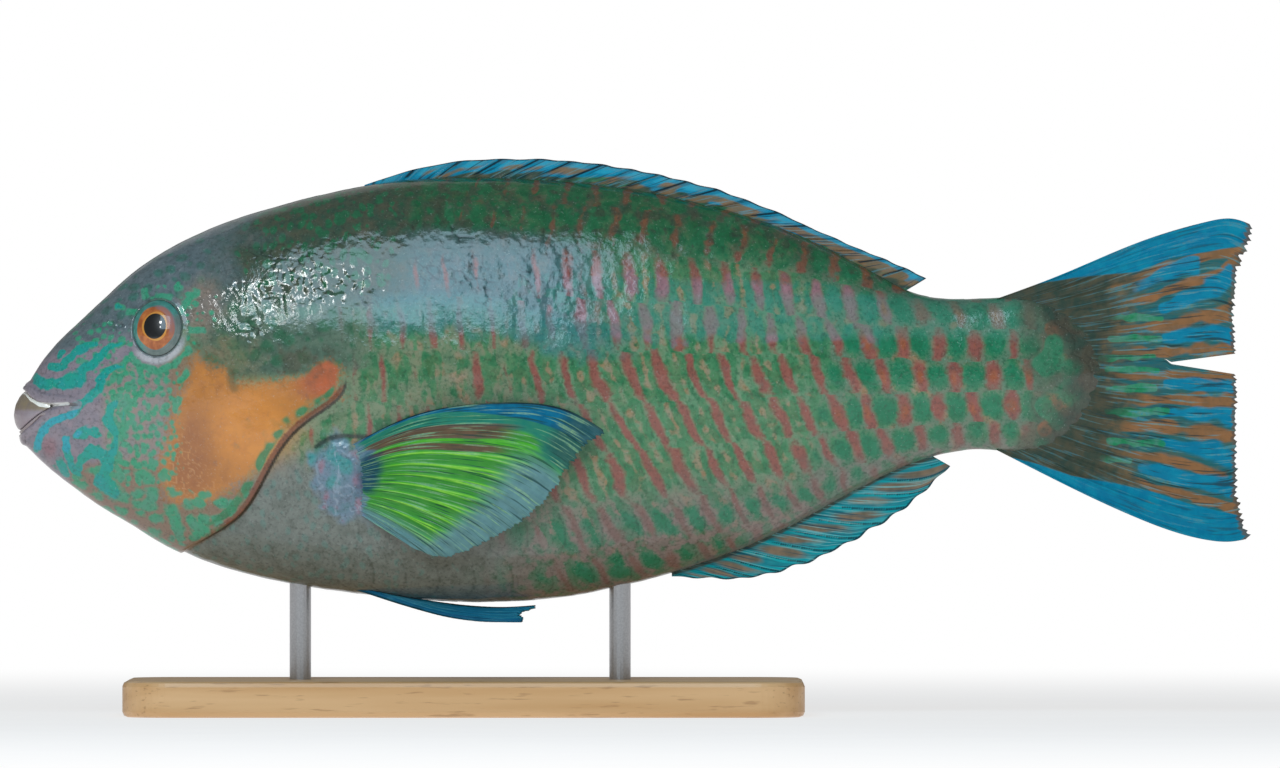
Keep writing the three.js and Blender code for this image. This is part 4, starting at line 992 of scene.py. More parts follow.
def skin_shape(s, z, own, fields, scales, scale_height):
    """How far the skin stands out of the plain body form, in mm."""
    ahead = fields["ahead"]
    # the gill cover's rear rim and the hollow behind it
    off_level = np.abs(z - GILL_COVER["level"])
    fade = smooth(GILL_COVER["faded"], GILL_COVER["full"], off_level) * smooth(-1, -14, z)
    cover = GILL_COVER["rise"] * fade * smooth(GILL_COVER["run"], 0, ahead)
    dip = -GILL_COVER["sunk"] * fade * smooth(GILL_COVER["behind"], 0, -ahead)
    lift = mix(dip, cover, smooth(-0.3, 0.15, ahead))
    # scales, flatter over the cheek and the upper flank
    amount = mix(0.15, 1, smooth(60, 105, s)) * smooth(30, 46, s)
    amount *= mix(1, 0.35, smooth(0, 3, fields["cheek"])) * mix(1, 0.4, fields["painted_reflection"])
    lift += (scales - 0.5) * scale_height * amount
    # mouth: the opening for the beak, the lips and the groove at its corner
    opening = inside_distance(s, z, [*BEAK_TOP, *BITE_LINE[:-3:-1], *BEAK_FOOT[::-1]])
    lift -= 1.9 * smooth(0, 0.8, opening) * smooth(16, 11, s)
    for lip, height in ((UPPER_LIP, 0.6), (LOWER_LIP, 0.3)):
        away = line_distance(s, z, lip)
        lift += height * np.sqrt(np.clip(1 - (away / 1.5)**2, 0, 1)) * smooth(19, 15, s)
    groove = line_distance(s, z, MOUTH_LINE)
    lift -= 0.4 * smooth(0.5, 0, groove) * smooth(18.5, 15, s)
    # the eye's rim and socket, and the nostrils
    ring = fields["ring"]
    lift += 0.35 * np.exp(-((ring - 1.0) / 0.09)**2) + 0.05 * np.exp(-((ring - 1.25) / 0.14)**2)
    lift -= 3.2 * smooth(0.93, 0.8, ring)
    for pit in NOSTRILS:
        away = np.hypot(s - pit["s"], z - pit["z"]) / pit["radius"]
        lift += 0.25 * np.exp(-((away - 1.35) / 0.4)**2) - 0.9 * smooth(1, 0.3, away)
    # the pad at the side fin's base
    base = PECTORAL_BASE
    pad = np.hypot((s - base["s"]) / base["along"], (z - base["z"]) / base["up"])
    swell = base["out"] * np.sqrt(np.clip(1 - pad * pad, 0, 1)) - base["sunk"]
    lift += np.log1p(np.exp(swell * 4)) / 4 * smooth(-1, 1, -ahead)
    # wrinkles, cracks and a slight unevenness all over
    ridges = 0.5 - np.abs(blotch(own, 1.8, 51)) * 1.4
    lift += ridges * (0.2 * fields["wrinkle"] + 0.05 * fields["painted_reflection"]) - 0.07 * fields["crack"]
    return lift + 0.12 * wobble(own, 8, 54) + 0.05 * wobble(own, 3.5, 52) + 0.025 * wobble(own, 1.3, 53)


def body_form(rings, angles):
    """Places s, y and z of the plain body's right half, its level, and the way round it from the belly."""
    s, angle = np.meshgrid(rings, angles, indexing="ij")
    level, up, down, width, upper, lower = section(s)
    sin, cos = np.sin(angle), np.clip(np.cos(angle), 0, 1)
    fullness, height = np.where(sin > 0, upper, lower), np.where(sin > 0, up, down)
    y = width * cos**(2 / fullness)
    z = level + height * np.sign(sin) * np.abs(sin)**(2 / fullness)
    steps = np.hypot(np.diff(y, axis=1), np.diff(z, axis=1))
    around = np.concatenate([np.zeros((len(rings), 1)), np.cumsum(steps, axis=1)], axis=1)
    return s, y, z, level, around


# Fields that shape the skin or other fields and that no colour needs
PLACES = ("ring", "ahead", "fin_base")


def make_skin(settings, material):
    """One closed skin over head, trunk and tail base, with its relief in the mesh."""
    rings, angles = skin_rings(settings.step), half_section(settings.columns)
    s, y, z, level, around = body_form(rings, angles)
    widest = np.argmin(np.abs(angles))
    girth = around - around[:, widest:widest + 1] + level
    u = spline(SCALES_ALONG)(s + spline(ROW_SLANT)(s) * np.minimum(z - MIDDLE_ROW, 0))
    v = (girth - MIDDLE_ROW) / spline(ROW_SPACING)(s)
    own = np.stack([s, girth, s * 0 + 7], axis=-1)
    tail = s - stem_edge(z)
    scales, rim = scale_relief(u, v)
    fields = face_markings(s, z, y, own)
    ahead = fields["ahead"]
    fields.update(body_markings(s, z, girth, around, around[:, -1:] - around, u, v, ahead))
    fields.update(fin_base_markings(s, z, own, ahead))
    fields.update(tail_base_markings(s, own, tail))
    fields.update(line_markings(s, z, girth, own, fields, rim, tail))
    lift = skin_shape(s, z, own, fields, scales, settings.scale_height)
    plain = np.stack([s, y, z], axis=-1)
    normal = np.cross(np.gradient(plain, axis=1), np.gradient(plain, axis=0))
    normal /= np.maximum(np.linalg.norm(normal, axis=-1, keepdims=True), 1e-9)
    normal *= np.sign(normal[:, widest, 1])[:, None, None]
    normal[:, [0, -1], 1] = 0
    skin = plain + normal * lift[..., None]
    # the skin thins out over the tail fin's root
    skin[..., 2] = mix(skin[..., 2], mix(level, z, 0.5), smooth(300, 306, s))
    skin[..., 1] = np.maximum(skin[..., 1], 0) * smooth(2.5, -12, tail)
    skin[:, [0, -1], 1] = 0
    left = skin[:, -2:0:-1] * [1, -1, 1]
    whole = {
        name: np.concatenate([values, values[:, -2:0:-1]], axis=1)
        for name, values in fields.items() if name not in PLACES}
    points, quads, fans, whole = closed_tube(np.concatenate([skin, left], axis=1), whole)
    return add_piece("skin", points, quads, fans, material, whole, ("head", "torso", "tail_stem"))


class OBJECT_OT_parrotfish_skin(bpy.types.Operator):
    """Adds the fish's skin in place of the head, trunk and tail base"""
    bl_idname = "object.parrotfish_skin"
    bl_label = "Skin"

    def execute(self, context):
        settings = context.scene.parrotfish_skin
        make_skin(settings, skin_material(settings.wetness))
        return {"FINISHED"}


# Eyes

def eye_material():
    """Wet eye under a clear, very smooth cornea: dark pupil, gold ring, coppery iris with a painted highlight
    on one side, green outer zone.
    """
    material, tree, principled = new_material(
        "wet_eye", **{"Roughness": 0.35, "IOR": 1.38, "Coat Weight": 1.0, "Coat Roughness": 0.02,
                      "Coat IOR": 1.45})
    medium, fine = noise_output(tree, 2.2, 3, seed=3.3), noise_output(tree, 0.5, 3, seed=8.8)
    colour = two_tone(tree, ("#5a6e6a", "#74807c"), medium)
    for field, pair, edge, spread, strength in [
        ("green_zone", ("#257a70", "#3f9488"), (0.1, 0.7), 0.5, 0.9),
        ("iris", ("#9c5024", "#c87438"), (0.2, 0.7), 0.25, 1),
        # painted highlight on the upper right of the iris
        ("iris_highlight", ("#9a7a80", "#8a6468"), (0.2, 0.9), 0.4, 0.6),
        ("gold", ("#d99a40", "#cf8434"), (0.2, 0.7), 0.2, 0.9),
        ("rim", ("#2a2320", "#3b302a"), (0.2, 0.8), 0.2, 1),
        ("pupil", ("#07080a", "#101216"), (0.35, 0.65), 0.1, 1),
    ]:
        colour = lay_over(tree, colour, field, two_tone(tree, pair, medium), edge, fine, spread, strength)
    tree.links.new(colour, principled.inputs["Base Color"])
    return material


def make_eye(name, side, material):
    """An eyeball in the skin's socket, flat over the iris, with the zones of its colours as fields."""
    centre, along, up, out = flank_axes(EYE["s"], EYE["z"], side)
    polar, turn = np.meshgrid(
        np.linspace(0.002, np.pi - 0.002, 120), np.linspace(0, 2 * np.pi, 200, endpoint=False), indexing="ij")
    across = np.sin(polar)
    rise = np.cos(polar) * EYE["depth"] - EYE["sunk"]
    ball = (
        centre + (EYE["along"] * across * np.cos(turn))[..., None] * along
        + (EYE["up"] * across * np.sin(turn))[..., None] * up + rise[..., None] * out)
    r = np.where(polar < np.pi / 2, across, 2)
    lean = np.cos(turn - 2.3)
    fields = {
        "pupil": smooth(0.425, 0.405, r),
        "gold": smooth(0.4, 0.43, r) * smooth(0.5, 0.46, r + 0.02 * np.cos(3 * turn)),
        "iris": smooth(0.74, 0.67, r + 0.015 * np.sin(5 * turn) + 0.03 * np.sin(turn)),
        # painted highlight on the upper right of the iris
        "iris_highlight": smooth(0.5, 0.6, r) * smooth(0.1, 0.9, np.cos(turn - 0.5)) * smooth(0.78, 0.7, r),
        "green_zone": smooth(0.68, 0.76, r) * smooth(-0.7, 0.3, lean),
        "rim": smooth(0.89, 0.94, r) + 0.35 * smooth(0.03, 0.01, np.abs(r - 0.8)),
    }
    points, quads, fans, fields = closed_tube(ball, fields)
    return add_piece(f"{name}_ball", points, quads, fans, material, fields, (name,))


class OBJECT_OT_parrotfish_eyes(bpy.types.Operator):
    """Adds both eyes in the skin's sockets"""
    bl_idname = "object.parrotfish_eyes"
    bl_label = "Eyes"

    def execute(self, context):
        material = eye_material()
        for word, side in SIDES.items():
            make_eye(f"eye_{word}", side, material)
        return {"FINISHED"}


# Beak

def beak_material():
    """Fused teeth: dull ochre enamel with fine pebbling, a mauve-grey foot and a bright worn cutting line."""
    material, tree, principled = new_material(
        "tooth_enamel", **{"Roughness": 0.38, "IOR": 1.6, "Coat Weight": 0.35, "Coat Roughness": 0.15})
    medium, fine = noise_output(tree, 2.6, 3, seed=4.1), noise_output(tree, 0.55, 3, seed=9.4)
    colour = two_tone(tree, ("#85766a", "#8f7f66"), medium)
    for field, pair, edge, spread in [
        ("foot", ("#94848a", "#9c9096"), (0.2, 0.8), 0.5),
        ("line", ("#eee9dc", "#f6f2ea"), (0.25, 0.7), 0.2),
    ]:
        colour = lay_over(tree, colour, field, two_tone(tree, pair, medium), edge, fine, spread)
    tree.links.new(colour, principled.inputs["Base Color"])
    bump = add_node(
        tree, "ShaderNodeBump", {"Strength": 0.5, "Distance": 0.2 * MM}, {"Height": fine}).outputs[0]
    tree.links.new(bump, principled.inputs["Normal"])
    return material


def make_beak_plate(name, top, foot, material, has_line):
    """A plate of the beak: a shell of the beak's ellipsoid between two lines of the side view."""
    turn, w = np.meshgrid(np.radians(np.linspace(-86, 86, 240)), np.linspace(0, 1, 60), indexing="ij")
    z = np.full(turn.shape, float(BEAK["z"]))
    for _ in range(12):
        shrink = np.sqrt(np.clip(1 - ((z - BEAK["z"]) / BEAK["up"])**2, 0.02, 1))
        s = BEAK["s"] - BEAK["along"] * shrink * np.cos(turn)
        z = mix(straight(foot, s), straight(top, s), w)
    y = BEAK["across"] * shrink * np.sin(turn)
    outer = np.stack([s, y, z], axis=-1)
    away = (outer - [BEAK["s"], 0, BEAK["z"]]) / [BEAK["along"]**2, BEAK["across"]**2, BEAK["up"]**2]
    away /= np.linalg.norm(away, axis=-1, keepdims=True)
    pebbles = wobble(outer, 1.1, 71)
    half = 0.7 * (1 - np.abs(2 * w - 1)**6)**0.5 + 0.05 + 0.05 * pebbles
    middle = outer - away * 0.62
    points, quads, used = plate_mesh(middle, away, half)
    if has_line:
        foot_share = smooth(-5.5, -8.5, z)
        line_share = smooth(1.6, 1.3, straight(top, s) - z + 0.15 * pebbles)
    else:
        foot_share, line_share = np.full(z.shape, 0.6), np.zeros(z.shape)
    fields = {"foot": foot_share.ravel()[used], "line": line_share.ravel()[used]}
    return add_piece(f"{name}_plate", points, quads, None, material, fields, (name,))


class OBJECT_OT_parrotfish_beak(bpy.types.Operator):
    """Adds the beak's upper and lower plates"""
    bl_idname = "object.parrotfish_beak"
    bl_label = "Beak"

    def execute(self, context):
        material = beak_material()
        gap = 0.08
        make_beak_plate("beak_upper", BEAK_TOP, [[s, z + gap] for s, z in BITE_LINE], material, True)
        make_beak_plate("beak_lower", [[s, z - gap] for s, z in BITE_LINE[:5]], BEAK_FOOT, material, False)
        return {"FINISHED"}


# Fins

def fin_material(name, pair, layers, dark_lines, glint_lines):
    """Thin wet membrane over bony rays: streaks run along the rays, pale lines along them are painted glints,
    and a film of water gives the gloss.
    """
    material, tree, principled = new_material(
        name, **{"Roughness": 0.65, "IOR": 1.4, "Specular IOR Level": 0.1, "Coat Weight": 0.13,
                 "Coat Roughness": 0.16, "Coat IOR": 1.4})
    across, along = (
        add_node(tree, "ShaderNodeAttribute", {"attribute_name": word}).outputs["Fac"]
        for word in ("across", "along"))
    place = add_node(tree, "ShaderNodeCombineXYZ", links={"X": across, "Y": along}).outputs[0]
    noises = {
        "streaks": add_node(
            tree, "ShaderNodeTexNoise", {"Scale": 1.0, "Detail": 3.0, "Roughness": 0.6},
            {"Vector": place}).outputs["Fac"],
        "medium": noise_output(tree, 3, 3, seed=6.2),
        "fine": noise_output(tree, 0.8, 3, seed=7.9),
    }
    colour = two_tone(tree, pair, noises["streaks"])
    for field, tones, edge, breakup, spread, strength in layers:
        tones = two_tone(tree, tones, noises["medium"])
        colour = lay_over(tree, colour, field, tones, edge, noises[breakup], spread, strength)
    veined = add_node(tree, "ShaderNodeAttribute", {"attribute_name": "veined"}).outputs["Fac"]
    # fine dark lines and painted pale glint lines along the rays, each a few of the rays' joints long
    for shift, tones, strength in ((13.0, dark_lines, 0.75), (31.0, glint_lines, 0.55)):
        drawn_out = add_node(
            tree, "ShaderNodeVectorMath",
            {"operation": "MULTIPLY_ADD", 1: (1.3, 0.4, 1.0), 2: (shift, shift, 0.0)}, {0: place}).outputs[0]
        lines = add_node(
            tree, "ShaderNodeTexNoise", {"Scale": 1.0, "Detail": 2.0, "Roughness": 0.5},
            {"Vector": drawn_out}).outputs["Fac"]
        full = add_node(
            tree, "ShaderNodeMath", {"operation": "MULTIPLY", 1: strength}, {0: veined}).outputs[0]
        share = add_node(
            tree, "ShaderNodeMapRange", {"From Min": 0.57, "From Max": 0.64},
            {"Value": lines, "To Max": full}).outputs[0]
        tones = two_tone(tree, tones, noises["fine"])
        colour = add_node(
            tree, "ShaderNodeMix", {"data_type": "RGBA"}, {0: share, 6: colour, 7: tones}).outputs[2]
    tree.links.new(colour, principled.inputs["Base Color"])
    bump = add_node(
        tree, "ShaderNodeBump", {"Strength": 0.4, "Distance": 0.2 * MM},
        {"Height": noises["streaks"]}).outputs[0]
    tree.links.new(bump, principled.inputs["Normal"])
    return material


def fin_grid(settings, rays, length, at=None):
    """Places across the rays (u) and along them (v), with the column at u = at doubled for a slit."""
    across = np.linspace(0, 1, (rays - 1) * settings.columns_per_ray + 1)
    if at is not None:
        near = np.argmin(np.abs(across - at))
        across = np.insert(across, near, across[near])
    u, v = np.meshgrid(across, np.linspace(0, 1, int(length / settings.row_step) + 2))
    return u, v


def ray_crest(u, v, rays, forks):
    """1 on the crest of a ray and 0 in the web. Each ray forks at the v places given, towards the margin."""
    off = np.abs(u * (rays - 1) - np.round(u * (rays - 1)))
    for start, spread in zip(forks, (0.26, 0.12)):
        off = np.abs(off - spread * smooth(start, 1.1, v))
    return smooth(mix(0.27, 0.13 if forks else 0.2, v), 0, off)


def notch(u, v, teeth, depth, lobes, seed):
    """v drawn back between the rays' tips and a little at random, for a worn margin."""
    luck = np.interp(u, np.linspace(0, 1, teeth), np.random.default_rng(seed).uniform(0, 1, teeth))
    return v * (1 - depth * smooth(0.75, 1, v) * (0.45 * (1 - lobes) + 0.55 * luck))


def fin_piece(name, settings, material, form, rays, length, shape, forks, worn, ripple, seed):
    """A fin from a function of u and v: rays stand out of the web, and are jointed along their length.

    The shape is the rays' half thickness at their root and tip and the web's. The forks are the places along
    the rays where they part, and worn and ripple say how ragged and how wavy the fin is.
    """
    root_half, tip_half, web_half = shape
    u, v = fin_grid(settings, rays, length, form.get("slit_at"))
    ray = u - form.get("sweep", 0) * v
    crest = ray_crest(ray, v, rays, forks)
    lobes = 0.5 + 0.5 * np.cos(2 * np.pi * ray * (rays - 1)) if form.get("folded") else crest
    point = form["at"](u, notch(u, v, form.get("teeth", 4 * rays), worn, lobes, seed))
    index = None
    if "open_slit" in form:
        point, index = form["open_slit"](point, u)
    down = np.gradient(point, axis=0)
    step = 1e-3
    side = form["at"](np.clip(u + step, 0, 1), v) - form["at"](np.clip(u - step, 0, 1), v)
    away = np.cross(side, down)
    away /= np.maximum(np.linalg.norm(away, axis=-1, keepdims=True), 1e-12)
    steps = np.linalg.norm(np.diff(point, axis=0), axis=-1)
    travel = np.concatenate([np.zeros((1, u.shape[1])), np.cumsum(steps, axis=0)])
    high = mix(root_half, tip_half, v**0.8)
    low = mix(root_half, web_half, smooth(0, 0.25, v)) * 0.75
    jointed = 1 + 0.04 * np.cos(2 * np.pi * travel / 1.5) * smooth(0.25, 0.5, v)
    half = low + (high * jointed - low) * crest
    x = ray * (rays - 1)
    wave = np.sin(2 * np.pi * x + 1.2) if form.get("folded") is None else 2 * (x - np.floor(x)) - 1
    bend = (ripple * wave + 0.35 * ripple * wobble(point, 7, seed + 1)) * smooth(0.3, 0.6, v)
    middle = point + away * bend[..., None]
    points, quads, used = plate_mesh(middle, away, half, index)
    s, z = point[..., 0], point[..., 2]
    fields = {
        "ray": crest, "web": 1 - crest, "across": x * 5.5, "along": travel / 6, "veined": 1,
        **form["marks"](u, v, s, z, crest),
    }
    return add_piece(
        f"{name}_membrane", points, quads, None, material,
        {key: (field + 0 * u).ravel()[used] for key, field in fields.items()}, (name,))


# The anal fin's rays sweep back by this share of the fin's length on their way to the margin
ANAL_SWEEP = 0.26
# Brush marks of the tail fin in mm, as on the face, and the inner edges of its blue lobes
CAUDAL_GREEN = [
    [[305, 18.8, 0.9], [321, 18.8, 1]], [[307, 13.2, 0.9], [320.5, 13.2, 0.9]],
    [[304, 7.4, 0.8], [319, 8.2, 0.9]], [[306, 4.4, 0.8], [320, 4.2, 0.9]],
    [[306, -0.8, 1], [319, -0.8, 1]], [[306, -7.4, 1], [322.5, -7.6, 1]],
    [[306.5, -15.6, 1], [321, -16.6, 1]], [[305, -20.7, 0.9], [312, -21.2, 0.9]],
]
CAUDAL_BLUE = [
    [[313.7, 27.7, 1.4], [329.7, 33.5, 2.2]], [[322, 21.5, 1.5], [341.7, 29.8, 3.2]],
    [[322, 13, 1.5], [342, 14.5, 3]], [[322.6, 0.4, 1.5], [341.2, 0, 1.9]],
    [[321.5, -7.6, 1.3], [341.2, -8.6, 2.6]], [[322, -16, 1.5], [341.7, -20.4, 3.2]],
    [[316, -23, 1.4], [341, -29, 2.6]],
]
CAUDAL_BROWN = [
    [[303, 15.6, 0.9], [322, 16.6, 1.6], [342, 20.6, 2.2]],
    [[308, 8.9, 0.8], [322, 9.2, 1.5], [342, 10.6, 1.7]],
    [[308, 2.9, 0.8], [322, 2.6, 1.3], [342, 2, 1.5]],
    [[305, -3.9, 0.9], [322, -4, 1.5], [342, -4.6, 1.8]],
    [[305, -11.4, 0.9], [322, -12, 1.6], [342, -14.4, 2]],
    [[308, -25.4, 0.9], [328, -31, 1.1], [343.7, -35, 1.2]],
    [[308, 27.6, 0.9], [324, 33.8, 1.2], [345, 38.2, 1]],
    [[306, 21.6, 0.9], [324, 26.4, 1.2], [343, 34.6, 1.2]],
    [[305, -18.4, 0.9], [322, -20.6, 1.3], [338, -25.8, 1.6]],
]
UPPER_LOBE = [[275, 25], [287, 28.3], [299.2, 30.2], [314.6, 31.6], [323.5, 35.4], [343.7, 39]]
LOWER_LOBE = [
    [275, -19], [287, -22.1], [296, -25.2], [308.4, -27.4], [318.8, -29.8], [329.7, -33.4], [343.7, -36.6],
]


def dorsal_form():
    """The back fin, folded low: its surface over u and v, and the fields of its colours."""
    edge, lean = spline(DORSAL["edge"]), spline(DORSAL["lean"])

    def at(u, v):
        root_s = mix(DORSAL["root_start"], DORSAL["root_end"], u)
        tip_s = root_s + lean(u)
        root_z = back_line(root_s) - DORSAL["root_sunk"]
        return np.stack([mix(root_s, tip_s, v), 0 * u, mix(root_z, edge(tip_s), v)], axis=-1)

    def marks(u, v, s, z, crest):
        over = z - back_line(s)
        x = u * (DORSAL["rays"] - 1)
        under = (1 - v) * (edge(s) - back_line(s) + DORSAL["root_sunk"])
        behind_ray = x - np.floor(x)
        ray = np.stack([x * 3, under / 2, 0 * s], axis=-1)
        tan = blotch(ray, 1.2, 82) - 0.25 + 0.85 * smooth(165, 215, s)
        edges = np.maximum(smooth(0.12, 0.02, behind_ray), smooth(0.93, 0.99, v))
        return {
            "low": smooth(3.2, 4.8, under + 1.2 * blotch(ray, 1.2, 81)),
            "tan": tan * smooth(1.3, 2.7, under) * smooth(0, 0.6, over),
            "green": (blotch(ray, 1.2, 83) - 0.1) * smooth(3, 4.5, under),
            "outline": edges * smooth(0.3, 1, over),
            "bright": smooth(0.9, 0.3, np.abs(behind_ray - 0.5) * 2.4) * smooth(3.4, 2, under),
        }

    return {"at": at, "marks": marks, "folded": True, "teeth": 30}


def anal_form():
    """The anal fin, half folded, as for the back fin."""
    root, edge = path(ANAL["root"]), path(ANAL["edge"])

    def at(u, v):
        flat = mix(root(u), edge(u), v[..., None])
        return np.stack([flat[..., 0], 0 * u, flat[..., 1]], axis=-1)

    def marks(u, v, s, z, crest):
        x = (u - ANAL_SWEEP * v) * (ANAL["rays"] - 1)
        behind_ray = x - np.floor(x)
        web = np.abs(behind_ray - 0.5)
        under = belly_line(s) - z
        ray = np.stack([x * 3, under / 3, 0 * s], axis=-1)
        reach = mix(3.4, 6.4, cell_random(np.floor(x), 0 * x, 87))
        lens = 1 - np.hypot((web - 0.02) / 0.4, (under - reach) / reach)
        edges = np.maximum(smooth(0.14, 0.04, behind_ray), smooth(0.95, 0.99, v))
        return {
            "lens": lens + 0.3 * blotch(ray, 1.3, 85) - 0.1,
            "fleck": blotch(ray, 1.0, 86) * smooth(2, 6, under),
            "outline": edges * smooth(1, 3, under),
            # painted shadow of the belly on the fin's root
            "dusk": smooth(1.6, 0, under),
        }

    return {"at": at, "marks": marks, "folded": True, "sweep": ANAL_SWEEP, "teeth": 16}


def caudal_form():
    """The spread tail fin with the slit between two of its rays, as for the back fin."""
    edges = [path(CAUDAL[word]) for word in ("root", "rear", "upper", "lower")]
    slit_at = 0.44

    def at(u, v):
        flat = patch(*edges)(u, v)
        return np.stack([flat[..., 0], 0 * u, flat[..., 1]], axis=-1)

    def open_slit(point, u):
        point = point.copy()
        left = int(np.argmax(np.diff(u[0]) == 0))
        index = np.arange(u.size).reshape(u.shape)
        s = point[..., 0]
        share = np.clip((s - SLIT["s"]) / (SLIT["rear"] - SLIT["s"]), 0, 1)
        closed = s[:, left] <= SLIT["s"]
        index[closed, left + 1] = index[closed, left]
        near = np.exp(-np.abs(u - u[0, left]) / 0.05)
        above = np.arange(u.shape[1]) <= left
        middle_z = point[:, left:left + 1, 2]
        drift = (SLIT["z"] - middle_z) * near * smooth(0, 0.1, share)
        point[..., 2] += drift + share * near * np.where(above, SLIT["up"], -SLIT["down"])
        return point, index

    def marks(u, v, s, z, crest):
        upper = z - straight(UPPER_LOBE, s)
        lower = straight(LOWER_LOBE, s) - z
        lobe = smooth(-0.4, 0.6, np.maximum(upper, lower))
        inner = 1 - lobe
        ray = np.stack([s / 3, u * (CAUDAL["rays"] - 1) * 3.2, 0 * s], axis=-1)
        ragged = blotch(ray, 1.6, 91)
        return {
            "shade": smooth(324, 304, s + 7 * ragged) * inner,
            "dark_ray": crest * smooth(322, 304, s) * inner * 0.6,
            "green": strokes_field(s, z, CAUDAL_GREEN) * inner - lobe + 0.7 * blotch(ray, 1.1, 94),
            "blue": strokes_field(s, z, CAUDAL_BLUE) * inner - lobe + 0.55 * ragged + 0.1,
            "brown": strokes_field(s, z, CAUDAL_BROWN) + 0.6 * blotch(ray, 1.4, 92),
            "root_dark": smooth(314, 300, s + 4 * ragged) * inner,
            "lobe": lobe,
            "fringe": smooth(0.965, 0.995, v),
            "veined": (1 - 0.4 * lobe) * mix(0.5, 1, smooth(300, 318, s)),
        }

    return {"at": at, "marks": marks, "open_slit": open_slit, "slit_at": slit_at, "teeth": 90}


def pectoral_form(side):
    """A side fin, which stands off the flank towards its rear margin, as for the back fin."""
    edges = [path(PECTORAL[word]) for word in ("root", "rear", "upper", "lower")]

    def at(u, v):
        flat = patch(*edges)(u, v)
        s, z = flat[..., 0], flat[..., 1]
        lift = mix(-PECTORAL["root_sunk"], PECTORAL["stand_off"], 1 - (1 - v)**2)
        bow = PECTORAL["leading_bow"] * (1 - u) * np.sin(np.pi / 2 * v / PECTORAL["bow_peak"])
        return np.stack([s, side * (flank(s, z) + lift + bow), z], axis=-1)

    def marks(u, v, s, z, crest):
        warp = u + 0.008 * np.sin(9 * v)
        stripes = smooth(0.12, 0.14, warp) * smooth(0.225, 0.205, warp)
        stripes += smooth(0.24, 0.25, warp) * smooth(0.29, 0.28, warp)
        leading = mix(0.035, 0.11, smooth(0.3, 0.8, v))
        return {
            "margin": np.maximum(smooth(0.62, 0.92, v) * smooth(0.15, 0.35, u), smooth(0.72, 0.97, u)),
            "edge_blue": smooth(0.005, -0.015, u - leading),
            "outline": smooth(0.014, 0.006, u),
            "teal": smooth(0.02, 0.04, u) * smooth(0.2, 0.13, u)
            + smooth(0.75, 0.95, v) * smooth(0.3, 0.2, u),
            "brown": stripes * smooth(0.85, 0.55, v) * smooth(0.06, 0.12, v),
            "tip_dark": smooth(0.78, 0.95, v) * smooth(0.3, 0.15, u),
            "flesh": smooth(0.13, 0.06, v + 0.03 * np.sin(23 * u) + 0.015 * np.sin(51 * u)),
            # painted shadow over the fin's root, next to the body
            "shoulder": smooth(0.24, 0.1, v) * smooth(0.02, 0.1, v)
            * smooth(0.1, 0.35, u) * smooth(0.8, 0.5, u),
            "crests": crest * smooth(0.2, 0.3, u) * smooth(0.05, 0.3, v),
        }

    return {"at": at, "marks": marks}


def pelvic_form(side):
    """A belly fin, which trails along the belly beside its midline, as for the back fin."""
    spine_path, inner_path = path(PELVIC["spine"]), path(PELVIC["inner"])

    def at(u, v):
        reach = v * (1 - PELVIC["rear_notch"] * np.sin(np.pi * u))
        return mix(spine_path(reach), inner_path(reach), u[..., None]) * [1, side, 1]

    def marks(u, v, s, z, crest):
        return {"leading": smooth(0.12, 0.04, u)}

    return {"at": at, "marks": marks}
